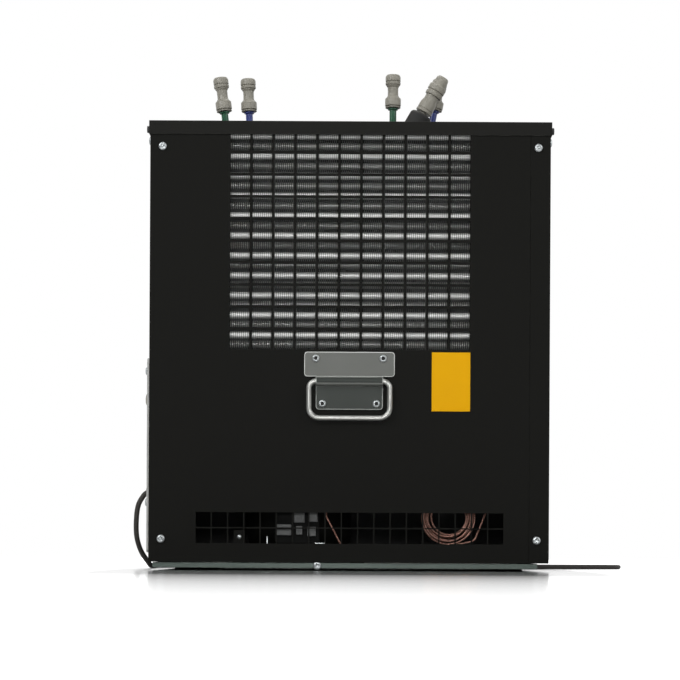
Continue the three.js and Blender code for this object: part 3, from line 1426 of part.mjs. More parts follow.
function knob() {
  const dome = turned([
    [0, -KNOB_STEM_LENGTH],
    [KNOB_STEM, -KNOB_STEM_LENGTH],
    [KNOB_STEM, GAP],
    [KNOB_RADIUS, GAP],
    [KNOB_RADIUS, KNOB_RISE / 3],
    [KNOB_RADIUS * KNOB_SHOULDER_SHARE, KNOB_RISE * KNOB_SHOULDER_SHARE],
    [KNOB_RADIUS * KNOB_CROWN_SHARE, KNOB_RISE],
    [0, KNOB_RISE],
  ], 18);
  const mark = block(
    [-SHEET / 2, SHEET / 2],
    [KNOB_RADIUS / 3, 2 * KNOB_RADIUS],
    [KNOB_RISE / 2, KNOB_RISE * 2],
  );
  return toGeometry(cut(dome, mark)).rotateY(-Math.PI / 2);
}

add('control_cover', controlCover(), LIGHT_GREY);
add('rocker_switch', rocker(), BLACK_PLASTIC).position.set(COVER_FACE_X + GAP, SWITCH_Y, SWITCH_Z);
add('thermostat_knob', knob(), GREY_PLASTIC).position.set(COVER_FACE_X, KNOB_Y, KNOB_Z);

// Cable gland on the left side, with a boot that droops

const GLAND_SETBACK = 16;
const GLAND_Y = COVER_FRONT_Y + GLAND_SETBACK;
const GLAND_Z = 121;
const GLAND_NUT_RADIUS = 11;
const GLAND_NUT_HEIGHT = 6;
const GLAND_STUB_RADIUS = 7;
const GLAND_STUB_LENGTH = 8;
const BOOT_LENGTH = 26;
const BOOT_ROOT_RADIUS = 7;
const BOOT_TIP_RADIUS = 5;
const BOOT_DROOP = 40;

function glandHole() {
  const x = [-HALF_WIDTH - OVERRUN, -HALF_WIDTH + OVERRUN];
  return alongX(bore(GLAND_STUB_RADIUS + GAP, x, 12)).translate(0, GLAND_Y, GLAND_Z);
}

function gland() {
  const stub = rod(GLAND_STUB_RADIUS, [-GLAND_STUB_LENGTH, GAP + GLAND_NUT_HEIGHT / 2], 12);
  const nut = rod(GLAND_NUT_RADIUS, [GAP, GAP + GLAND_NUT_HEIGHT], 6);
  const boot = turned([
    [0, 0],
    [BOOT_ROOT_RADIUS, 0],
    [BOOT_TIP_RADIUS, BOOT_LENGTH],
    [0, BOOT_LENGTH],
  ], 12);
  const drooped = boot.rotateY(-BOOT_DROOP * DEGREE).translate(0, 0, GLAND_NUT_HEIGHT / 2);
  return toGeometry(join(stub, nut, drooped)).rotateY(-Math.PI / 2);
}

const leftPanel = sidePanel(-1, BEHIND_REAR, SEAM_X);
add('left_side_panel', cut(leftPanel, ...sideCuts(), glandHole()), BLACK_COAT);
add('cord_gland', gland(), BLACK_PLASTIC).position.set(-HALF_WIDTH, GLAND_Y, GLAND_Z);

// Mains lead: chosen by hand, from the boot to the floor, round behind and back to its coil

const COIL_CENTRE = [140, 396];
const CORD_FLOOR_CLEAR = 0.1;
const CORD_FLOOR_Z = CORD_DIAMETER / 2 + CORD_FLOOR_CLEAR;
const CORD_LOOPS_A_LAYER = 2;
const CORD_STEPS = 72;
const CORD_COIL_SPACING = 1.4;
const CORD_PITCH = CORD_DIAMETER + CORD_COIL_SPACING;
const CORD_COIL_OUTER = 46;
const bootReach = BOOT_LENGTH + GAP;

// A place on the boot's axis, past the nut by a reach
function onBootAxis(reach) {
  return [
    -HALF_WIDTH - GLAND_NUT_HEIGHT / 2 - reach * Math.cos(BOOT_DROOP * DEGREE),
    GLAND_Y,
    GLAND_Z - reach * Math.sin(BOOT_DROOP * DEGREE),
  ];
}

const CORD_POINTS = [
  [-286, -8, 86],
  [-289.5, -5, 64],
  [-289, 0, 42],
  [-284, 12, 24],
  [-277, 32, 10],
  [-274, 60, CORD_FLOOR_Z],
  [-275, 110, CORD_FLOOR_Z],
  [-277, 170, CORD_FLOOR_Z],
  [-273, 222, CORD_FLOOR_Z],
  [-257, 262, CORD_FLOOR_Z],
  [-225, 290, CORD_FLOOR_Z],
  [-170, 303, CORD_FLOOR_Z],
  [-90, 306, CORD_FLOOR_Z],
  [0, 304, CORD_FLOOR_Z],
  [90, 300, CORD_FLOOR_Z],
  [180, 296, CORD_FLOOR_Z],
  [270, 292, CORD_FLOOR_Z],
  [340, 290, CORD_FLOOR_Z],
  [385, 296, CORD_FLOOR_Z],
  [409, 318, CORD_FLOOR_Z],
  [408, 350, CORD_FLOOR_Z],
  [384, 371, CORD_FLOOR_Z],
  [346, 374, CORD_FLOOR_Z],
  [300, 364, CORD_FLOOR_Z],
  [250, 353, CORD_FLOOR_Z],
  [200, 350, CORD_FLOOR_Z],
];

function cordRoute() {
  const meeting = [COIL_CENTRE[0] + CORD_DIAMETER, COIL_CENTRE[1] - CORD_COIL_OUTER, CORD_FLOOR_Z];
  const last = [meeting[0] + GAP, meeting[1], meeting[2]];
  const beforeLast = [last[0] + CORD_DIAMETER, last[1], last[2]];
  const places = [onBootAxis(bootReach + CORD_DIAMETER), ...CORD_POINTS, beforeLast];
  const curve = new THREE.CatmullRomCurve3(places.map((place) => new THREE.Vector3(...place)));
  const points = [
    new THREE.Vector3(...onBootAxis(bootReach)),
    ...curve.getSpacedPoints(CORD_STEPS),
    new THREE.Vector3(...last),
  ];
  for (const point of points) point.z = Math.max(point.z, CORD_FLOOR_Z);
  return { points, meeting };
}

const PLUG_RADIUS = 18;
const PLUG_BODY = 34;
const PLUG_NECK = 30;
const PLUG_NECK_RADIUS = 5.5;
const PLUG_PIN_RADIUS = 2.4;
const PLUG_PIN_LENGTH = 19;
const PLUG_PIN_SPACING = 19;
const PLUG_MOUTH = [205, 441];
const PLUG_TURN = 4;
const PLUG_NECK_SHARE = 0.7;
const PLUG_SHOULDER_SHARE = 0.3;
const BOW_HANDLE = 27.6;
const BOW_STEPS = 8;

// The coil winds in on the floor, climbs and winds out on top, then runs to the plug
function cordCoilRoute(meeting) {
  const loops = twoLayerLoops(
    CORD_COIL_OUTER,
    CORD_PITCH,
    CORD_PITCH,
    CORD_LOOPS_A_LAYER,
    Math.PI / 2,
  ).map(([across, along, up]) => {
    return new THREE.Vector3(
      COIL_CENTRE[0] + across,
      COIL_CENTRE[1] - along,
      CORD_FLOOR_Z + up,
    );
  });
  const turn = PLUG_TURN * DEGREE;
  const end = new THREE.Vector3(PLUG_MOUTH[0], PLUG_MOUTH[1], PLUG_RADIUS);
  const before = end.clone().sub(new THREE.Vector3(Math.cos(turn), Math.sin(turn), 0)
    .multiplyScalar(CORD_DIAMETER));
  const leaving = loops.slice(0, loops.length - LOOP_STEPS / 2);
  const tail = leaving.at(-1);
  const heading = tail.clone().sub(leaving.at(-2)).normalize();
  const bow = new THREE.CubicBezierCurve3(
    tail,
    tail.clone().addScaledVector(heading, BOW_HANDLE),
    before.clone().addScaledVector(before.clone().sub(end).normalize(), BOW_HANDLE),
    before,
  ).getPoints(BOW_STEPS).slice(1);
  return [new THREE.Vector3(...meeting), ...leaving, ...bow, end];
}

function plug() {
  const body = turned([
    [0, GAP],
    [PLUG_NECK_RADIUS, GAP],
    [PLUG_NECK_RADIUS + SHEET, PLUG_NECK * PLUG_NECK_SHARE],
    [PLUG_RADIUS * PLUG_NECK_SHARE, PLUG_NECK],
    [PLUG_RADIUS, PLUG_NECK + PLUG_BODY * PLUG_SHOULDER_SHARE],
    [PLUG_RADIUS, PLUG_NECK + PLUG_BODY],
    [0, PLUG_NECK + PLUG_BODY],
  ], 20);
  const pins = [-1, 1].map((side) => {
    const length = [PLUG_NECK + PLUG_BODY / 2, PLUG_NECK + PLUG_BODY + PLUG_PIN_LENGTH];
    return rod(PLUG_PIN_RADIUS, length, 8).translate(0, side * PLUG_PIN_SPACING / 2, 0);
  });
  return toGeometry(join(body, ...pins)).rotateY(Math.PI / 2);
}

const { points: cordPoints, meeting } = cordRoute();
add('cord', tube(cordPoints, CORD_DIAMETER, 8), CORD_RUBBER);
const coilPoints = cordCoilRoute(meeting);
add('cord_coil', tube(coilPoints, CORD_DIAMETER, 6), CORD_RUBBER);
const plugMesh = add('plug', plug(), BLACK_PLASTIC);
plugMesh.position.set(PLUG_MOUTH[0], PLUG_MOUTH[1], PLUG_RADIUS);
plugMesh.rotation.z = PLUG_TURN * DEGREE;

const measured = {
  capillary: leastGap(capillary, CAPILLARY, 4 * CAPILLARY_OUTER),
  cordCoil: leastGap(coilPoints, CORD_DIAMETER, 2 * CORD_COIL_OUTER),
};
for (const [name, gap] of Object.entries(measured)) {
  console.log(`${name}: least gap to itself ${gap.toFixed(2)} mm`);
}

export default cooler;
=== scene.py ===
import json
import math

import bmesh
import bpy
from mathutils import Matrix, Vector


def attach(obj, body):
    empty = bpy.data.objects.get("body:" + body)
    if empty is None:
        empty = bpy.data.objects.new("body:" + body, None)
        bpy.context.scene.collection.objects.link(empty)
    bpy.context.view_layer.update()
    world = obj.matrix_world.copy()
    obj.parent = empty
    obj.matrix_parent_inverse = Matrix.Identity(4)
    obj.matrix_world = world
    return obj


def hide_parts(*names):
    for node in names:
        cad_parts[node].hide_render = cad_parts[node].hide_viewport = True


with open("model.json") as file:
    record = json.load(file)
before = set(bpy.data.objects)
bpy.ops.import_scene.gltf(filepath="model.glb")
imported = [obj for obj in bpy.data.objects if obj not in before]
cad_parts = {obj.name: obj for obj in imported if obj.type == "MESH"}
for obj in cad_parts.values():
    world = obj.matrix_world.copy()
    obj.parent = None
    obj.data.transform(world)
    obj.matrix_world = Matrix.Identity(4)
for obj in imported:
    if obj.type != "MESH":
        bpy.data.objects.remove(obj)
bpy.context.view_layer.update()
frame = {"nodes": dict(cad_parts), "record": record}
scene = bpy.context.scene
MM = 0.001


def put(name, data):
    made = bpy.data.objects.new(name, data)
    scene.collection.objects.link(made)
    return made


# %% [markdown]
# The photograph was taken from far back, level with the cabinet's foot, so the upright edges
# stay parallel and only the lens is shifted up. A camera with a long lens and a vertical shift
# does the same. It also leans by a third of a degree, as the photograph does.
# %% Camera
REAR_Y = -240 * MM
VIEW_DISTANCE = 2600 * MM
EYE_HEIGHT = 20 * MM
CAMERA_LEAN = math.radians(-0.3)
LENS_LENGTH = 110.3
LENS_SHIFT = (-0.0125, 0.316)

camera_data = bpy.data.cameras.new("studio_camera")
camera = put("studio_camera", camera_data)
camera.location = (0, REAR_Y - VIEW_DISTANCE, EYE_HEIGHT)
camera.rotation_euler = (math.radians(90), CAMERA_LEAN, 0)
camera_data.sensor_width = 36
camera_data.lens = LENS_LENGTH
camera_data.shift_x, camera_data.shift_y = LENS_SHIFT
camera_data.dof.use_dof = False
scene.camera = camera
scene.view_settings.view_transform = "Standard"

# %% [markdown]
# Small helpers come before the first piece. `node` adds one shader or geometry node: a plain
# value sets a socket, and a socket of another node is linked to it. `maths` and `arrows` add one
# sum, on numbers or on vectors, and `stretched` maps one span of values onto another. Colours
# are written as on a paint chart and turned into the linear values that Blender's light works
# in. `new_piece` makes a mesh object.
# %% Helpers for node trees, colours and meshes


def node(tree, kind, inputs=None, **settings):
    made = tree.nodes.new(kind)
    for key, value in settings.items():
        setattr(made, key, value)
    for key, value in (inputs or {}).items():
        socket = made.inputs[key]
        if isinstance(value, bpy.types.NodeSocket):
            tree.links.new(value, socket)
        else:
            socket.default_value = value
    return made


def maths(tree, operation, *values):
    return node(tree, "ShaderNodeMath", dict(enumerate(values)), operation=operation).outputs[0]


def arrows(tree, operation, *values):
    made = node(tree, "ShaderNodeVectorMath", dict(enumerate(values)), operation=operation)
    return made.outputs["Value" if operation == "LENGTH" else "Vector"]


def stretched(tree, value, span, onto=(0.0, 1.0), **settings):
    return node(tree, "ShaderNodeMapRange", {
        "Value": value, "From Min": span[0], "From Max": span[1],
        "To Min": onto[0], "To Max": onto[1],
    }, **settings).outputs[0]


def paint(hexcode):
    parts = [int(hexcode[i:i + 2], 16) / 255 for i in (1, 3, 5)]
    linear = [c / 12.92 if c <= 0.04045 else ((c + 0.055) / 1.055) ** 2.4 for c in parts]
    return (*linear, 1.0)


def new_piece(name, verts, faces, edges=()):
    mesh = bpy.data.meshes.new(name)
    mesh.from_pydata([tuple(v) for v in verts], edges, faces)
    mesh.update()
    return put(name, mesh)


# %% [markdown]
# The light is a plain product-shot set: a bright wall behind the cooler, a dark room behind the
# camera, one large soft box high on the left and a weaker one on the right. The black panel
# mirrors the dark room, which keeps it black. A low box in front shines between the fins of
# the condenser and lights the tubes there. The camera itself sees pure white.
# %% Studio light
world = bpy.data.worlds.new("studio")
scene.world = world
world.use_nodes = True
sky = world.node_tree
sky.nodes.clear()
ROOM_SPAN = (-0.1, 0.6)
ROOM_TONES = (0.05, 1.0)
direction = node(sky, "ShaderNodeTexCoord")
axes = node(sky, "ShaderNodeSeparateXYZ", {0: direction.outputs["Generated"]})
room = stretched(sky, axes.outputs["Y"], ROOM_SPAN, ROOM_TONES,
                 interpolation_type="SMOOTHSTEP")
ray = node(sky, "ShaderNodeLightPath")
seen = node(sky, "ShaderNodeMix", {0: ray.outputs["Is Camera Ray"], 2: room, 3: 1.0})
clear = node(sky, "ShaderNodeMix", {
    0: ray.outputs["Is Transmission Ray"], 2: seen.outputs[0], 3: 1.0,
})
air = node(sky, "ShaderNodeBackground", {"Color": (1, 1, 1, 1), "Strength": clear.outputs[0]})
sky.links.new(air.outputs[0], node(sky, "ShaderNodeOutputWorld").inputs["Surface"])


def soft_box(name, place, aim, size, watts):
    data = bpy.data.lights.new(name, "AREA")
    data.shape = "RECTANGLE"
    data.size, data.size_y = size
    data.energy = watts
    lamp = put(name, data)
    lamp.location = place
    lamp.rotation_euler = (Vector(aim) - Vector(place)).to_track_quat("-Z", "Y").to_euler()


COOLER_MIDDLE = (0, 0, 0.3)
soft_box("key_box", (-1.7, -1.7, 1.9), COOLER_MIDDLE, (1.3, 1.3), 34)
soft_box("fill_box", (1.9, -1.2, 1.3), COOLER_MIDDLE, (1.2, 1.6), 16)
soft_box("front_box", (0.0, -2.9, 0.6), COOLER_MIDDLE, (0.9, 0.4), 17)
soft_box("brow_box", (0.0, -1.9, 1.9), COOLER_MIDDLE, (0.9, 0.5), 8)
soft_box("top_box", (0.0, 0.2, 2.4), COOLER_MIDDLE, (1.6, 1.6), 18)

# %% [markdown]
# The floor is a pale glossy sheet. From so low it mirrors the dark cabinet, and in the
# photograph that image fades to white within a hand's breadth of the base. A little light for
# camera rays alone does the fading. It is nothing at the cabinet's foot and grows with the
# distance from it, so the shadow and the mirror image near the base stay. The sheet is also
# painted darker close to the base, to reach the depth of the photograph's shadow there. That
# is a painted look and not real light, and from other sides its border shows.
# %% Floor
FOOTPRINT = (0.25, 0.24, 0)
SIDE_WEIGHT = (12, 1, 0)
LIFT_REACH = (0.48, 1.9)
LIFT_CURVE = 0.72
SHADE_REACH = (0.1, 0.4)
SHADE_TONES = (0.17, 0.7)
floor = new_piece("floor", [(-6, -6, 0), (6, -6, 0), (6, 8, 0), (-6, 8, 0)], [(0, 1, 2, 3)])
sheet = bpy.data.materials.new("studio_floor")
sheet.use_nodes = True
tree = sheet.node_tree
tree.nodes.clear()
ray = node(tree, "ShaderNodeLightPath")
spot = node(tree, "ShaderNodeTexCoord")
quarter = arrows(tree, "ABSOLUTE", spot.outputs["Object"])
outside = arrows(tree, "MAXIMUM", arrows(tree, "SUBTRACT", quarter, FOOTPRINT), (0, 0, 0))
away = arrows(tree, "LENGTH", arrows(tree, "MULTIPLY", outside, SIDE_WEIGHT))
eased = maths(tree, "POWER", stretched(tree, away, LIFT_REACH), LIFT_CURVE)
lift = maths(tree, "MULTIPLY", ray.outputs["Is Camera Ray"], eased)
shade = stretched(tree, away, SHADE_REACH, SHADE_TONES)
white = node(tree, "ShaderNodeBsdfDiffuse", {"Color": shade})
gloss = node(tree, "ShaderNodeBsdfGlossy", {"Color": (1, 1, 1, 1), "Roughness": 0.14})
glance = node(tree, "ShaderNodeFresnel", {"IOR": 1.5})
paper = node(tree, "ShaderNodeMixShader", {
    0: glance.outputs[0], 1: white.outputs[0], 2: gloss.outputs[0],
})
glow = node(tree, "ShaderNodeEmission", {"Strength": lift})
both = node(tree, "ShaderNodeAddShader", {0: paper.outputs[0], 1: glow.outputs[0]})
tree.links.new(both.outputs[0], node(tree, "ShaderNodeOutputMaterial").inputs["Surface"])
floor.data.materials.append(sheet)

# %% [markdown]
# The mains lead comes next, because its length and its coil decide how far the model reaches.
# It leaves the boot on the left side, drops to the floor, runs behind the cabinet and ends in
# a coil with its plug. A Bezier curve passes through listed points. Its handles follow
# the neighbours of each point, and stay level where the lead lies on the floor.
# %% Mains lead route
LEAD_DIAMETER = 7 * MM
LEAD_FLOOR_Z = 3.6
BOOT_DROOP = math.radians(40)
BOOT_LENGTH = 26
NUT_HEIGHT = 6
GLAND_PLACE = (-250, -8, 121)


def on_boot_axis(reach):
    x, y, z = GLAND_PLACE
    return (
        x - NUT_HEIGHT / 2 - reach * math.cos(BOOT_DROOP),
        y,
        z - reach * math.sin(BOOT_DROOP),
    )


LEAD_DROP = [
    (-286, -8, 86), (-289, -5, 64), (-288.5, 0, 42), (-284, 12, 24), (-277, 32, 10),
]
LEAD_ON_FLOOR = [
    (-274, 60), (-275, 110), (-277, 170), (-273, 222), (-257, 262), (-225, 290),
    (-170, 303), (-90, 306), (0, 304), (90, 300), (180, 296), (270, 292), (340, 290),
    (385, 296), (408.3, 318), (407.4, 350), (384, 371), (346, 374), (300, 364),
    (250, 353), (200, 350),
]
BOOT_GAP = 0.3
STRAIGHT_RUN = 7
COIL_CENTRE = (140, 396)
COIL_OUTER = 46
COIL_PITCH = 8.4
COIL_LOOPS_A_LAYER = 2
LOOP_STEPS = 24
PLUG_MOUTH = (205, 441, 18)
PLUG_TURN = math.radians(4)
BOW_HANDLE = 27.6
BOW_STEPS = 8


def two_layer_loops(outer, pitch, layer_step, loops, first_angle, steps=LOOP_STEPS):
    places = []
    for i in range(loops * 2 * steps + 1):
        turn = i / steps
        radius = outer - pitch * (loops - abs(turn - loops))
        climb = min(max(turn - loops + 0.5, 0), 1) * layer_step
        angle = first_angle + turn * 2 * math.pi
        places.append((radius * math.cos(angle), radius * math.sin(angle), climb))
    return places


def lead_route():
    start = on_boot_axis(BOOT_LENGTH + BOOT_GAP)
    second = on_boot_axis(BOOT_LENGTH + BOOT_GAP + STRAIGHT_RUN)
    on_floor = [(x, y, LEAD_FLOOR_Z) for x, y in LEAD_ON_FLOOR]
    into_coil = (COIL_CENTRE[0] + 14, COIL_CENTRE[1] - COIL_OUTER, LEAD_FLOOR_Z)
    loops = [
        (COIL_CENTRE[0] + across, COIL_CENTRE[1] - along, LEAD_FLOOR_Z + up)
        for across, along, up in two_layer_loops(
            COIL_OUTER, COIL_PITCH, COIL_PITCH, COIL_LOOPS_A_LAYER, math.pi / 2)
    ]
    leaving = loops[:len(loops) - LOOP_STEPS // 2]
    tail = Vector(leaving[-1])
    heading = (tail - Vector(leaving[-2])).normalized()
    end = Vector(PLUG_MOUTH)
    back = -Vector((math.cos(PLUG_TURN), math.sin(PLUG_TURN), 0))
    before = end + back * STRAIGHT_RUN
    first_handle = tail + heading * BOW_HANDLE
    last_handle = before + back * BOW_HANDLE
    bow = []
    for step in range(1, BOW_STEPS + 1):
        t = step / BOW_STEPS
        bow.append(tuple(
            tail * (1 - t) ** 3 + first_handle * 3 * t * (1 - t) ** 2
            + last_handle * 3 * t * t * (1 - t) + before * t ** 3))
    return [start, second, *LEAD_DROP, *on_floor, into_coil, *leaving[1:], *bow, tuple(end)]


def smooth_curve(name, points, diameter):
    data = bpy.data.curves.new(name, "CURVE")
    data.dimensions = "3D"
    data.resolution_u = 6
    data.bevel_depth = diameter / 2
    data.bevel_resolution = 4
    data.use_fill_caps = True
    spline = data.splines.new("BEZIER")
    spline.bezier_points.add(len(points) - 1)
    places = [Vector(p) * MM for p in points]
    for i, (knot, place) in enumerate(zip(spline.bezier_points, places)):
        before = places[max(i - 1, 0)]
        after = places[min(i + 1, len(places) - 1)]
        along = (after - before).normalized()
        if abs(place.z - LEAD_FLOOR_Z * MM) < 1e-6:
            along.z = 0
            along.normalize()
        knot.handle_left_type = knot.handle_right_type = "FREE"
        knot.co = place
        knot.handle_left = place - along * (place - before).length / 3
        knot.handle_right = place + along * (after - place).length / 3
    return put(name, data)


route = lead_route()
mains_lead = smooth_curve("mains_lead", route, LEAD_DIAMETER)

# %% [markdown]
# Several finishes share the same small effects, so each is a shader group built once. `pebble`
# is the orange-peel skin of powder paint or moulded plastic. `grain` is the fine one-way
# scratching of brushed or rolled metal. The edge group tints the bends that each piece marks for
# it: at low strength it is broken, where paint rubs thin, and also works as a painted sheen on
# the bend; at full strength it is a painted highlight along a bend, or painted shade in a screw
# recess. `dust` settles on faces that look up. `marks` is the slow, cloudy change of gloss that
# hands and cloths leave.
# %% Shared shader groups


def shader_group(name, inputs, outputs):
    group = bpy.data.node_groups.new(name, "ShaderNodeTree")
    for title, kind, value in inputs:
        socket = group.interface.new_socket(name=title, in_out="INPUT", socket_type=kind)
        socket.default_value = value
    for title, kind in outputs:
        group.interface.new_socket(name=title, in_out="OUTPUT", socket_type=kind)
    return group, node(group, "NodeGroupInput"), node(group, "NodeGroupOutput")


def noise(tree, given, **detail):
    place = node(tree, "ShaderNodeTexCoord")
    return node(tree, "ShaderNodeTexNoise", {
        "Vector": place.outputs["Object"], "Scale": given.outputs["Scale"], **detail,
    }).outputs[0]


def raised(group, given, result, height):
    relief = node(group, "ShaderNodeBump", {
        "Height": height, "Distance": given.outputs["Height"], "Strength": 1.0,
    })
    group.links.new(relief.outputs[0], result.inputs["Normal"])


NUMBER = "NodeSocketFloat"
ARROW = "NodeSocketVector"

pebble, given, result = shader_group(
    "pebble", [("Scale", NUMBER, 900.0), ("Height", NUMBER, 0.00003)], [("Normal", ARROW)])
raised(pebble, given, result, noise(pebble, given, Detail=2.0, Roughness=0.5))

grain, given, result = shader_group(
    "grain", [("Stretch", ARROW, (8, 900, 900)), ("Height", NUMBER, 0.00002)],
    [("Normal", ARROW)])
place = node(grain, "ShaderNodeTexCoord")
drawn = arrows(grain, "MULTIPLY", place.outputs["Object"], given.outputs["Stretch"])
lines = node(grain, "ShaderNodeTexNoise", {
    "Vector": drawn, "Scale": 1.0, "Detail": 4.0, "Roughness": 0.65,
})
raised(grain, given, result, lines.outputs[0])

wear_and_painted_light, given, result = shader_group(
    "wear_and_painted_light", [("Amount", NUMBER, 0.5), ("Scale", NUMBER, 60.0)], [("Mask", NUMBER)])
bends = node(wear_and_painted_light, "ShaderNodeAttribute", attribute_name="rub_and_painted_light")
broken = stretched(wear_and_painted_light, noise(wear_and_painted_light, given, Detail=5.0), (0.42, 0.66), (0.05, 1.0))
worn_and_lit = maths(wear_and_painted_light, "MULTIPLY", bends.outputs["Fac"], broken)
wear_and_painted_light.links.new(maths(wear_and_painted_light, "MULTIPLY", worn_and_lit, given.outputs["Amount"]), result.inputs["Mask"])

dust, given, result = shader_group(
    "dust", [("Amount", NUMBER, 0.3), ("Scale", NUMBER, 14.0)], [("Mask", NUMBER)])
facing = node(dust, "ShaderNodeNewGeometry")
upright = node(dust, "ShaderNodeSeparateXYZ", {0: facing.outputs["Normal"]})
settled = stretched(dust, upright.outputs["Z"], (0.25, 0.95))
uneven = stretched(
    dust, noise(dust, given, Detail=6.0, Roughness=0.7), (0.35, 0.75), (0.25, 1.0))
lying_dust = maths(dust, "MULTIPLY", settled, uneven)
dust.links.new(
    maths(dust, "MULTIPLY", lying_dust, given.outputs["Amount"]), result.inputs["Mask"])

marks, given, result = shader_group(
    "marks", [("Scale", NUMBER, 9.0), ("Low", NUMBER, 0.4), ("High", NUMBER, 0.6)],
    [("Roughness", NUMBER), ("Clouds", NUMBER)])
clouds = noise(marks, given, Detail=5.0, Roughness=0.6, Distortion=0.4)
gloss = stretched(
    marks, clouds, (0.3, 0.7), (given.outputs["Low"], given.outputs["High"]))
marks.links.new(gloss, result.inputs["Roughness"])
marks.links.new(clouds, result.inputs["Clouds"])
print("shader groups:", [g.name for g in bpy.data.node_groups])

# %% [markdown]
# One recipe covers most finishes: a colour that drifts a little between two near tones, a gloss
# that changes with hand marks, a skin of pebble or grain, edges tinted for wear and for painted
# light, and dust. The values differ for each finish. Fixed numbers such as metallic sit on the
# shader itself. A pebble is given by its scale and its height in millimetres.
# %% Finish recipe


def put_group(tree, group, inputs):
    placed = node(tree, "ShaderNodeGroup", node_tree=group)
    for title, value in inputs.items():
        placed.inputs[title].default_value = value
    return placed


def mixed(tree, share, colour, over):
    tone = node(tree, "ShaderNodeMix", {0: share, 6: colour, 7: paint(over)}, data_type="RGBA")
    return tone.outputs[2]


def pebbled(scale, height):
    return "pebble", {"Scale": scale, "Height": height * MM}


BRUSHED = ("grain", {"Stretch": (14.0, 1500.0, 1500.0), "Height": 0.00003})
DRAWN = ("grain", {"Stretch": (700.0, 700.0, 14.0), "Height": 0.00001})
DUST_COLOUR = "#8d877c"


def finish(name, tones, gloss, skin=None, metallic=0.0, edge=None, dusty=0.0,
           cloud_scale=9.0, shine=0.5, **fixed):
    made = bpy.data.materials.new(name)
    made.use_nodes = True
    tree = made.node_tree
    tree.nodes.clear()
    cloudy = put_group(tree, marks, {"Scale": cloud_scale, "Low": gloss[0], "High": gloss[1]})
    colour = mixed(tree, cloudy.outputs["Clouds"], paint(tones[0]), tones[1])
    if edge:
        edge_wear_and_light = put_group(tree, wear_and_painted_light, {"Amount": edge[1], "Scale": 70.0})
        colour = mixed(tree, edge_wear_and_light.outputs["Mask"], colour, edge[0])
    if dusty:
        film = put_group(tree, dust, {"Amount": dusty, "Scale": 16.0})
        colour = mixed(tree, film.outputs["Mask"], colour, DUST_COLOUR)
    surface = node(tree, "ShaderNodeBsdfPrincipled", {
        "Base Color": colour, "Roughness": cloudy.outputs["Roughness"],
        "Metallic": metallic, "Specular IOR Level": shine, **fixed,
    })
    if skin:
        kind, values = skin
        rough = put_group(tree, {"pebble": pebble, "grain": grain}[kind], values)
        tree.links.new(rough.outputs["Normal"], surface.inputs["Normal"])
    tree.links.new(surface.outputs[0], node(tree, "ShaderNodeOutputMaterial").inputs["Surface"])
    return made


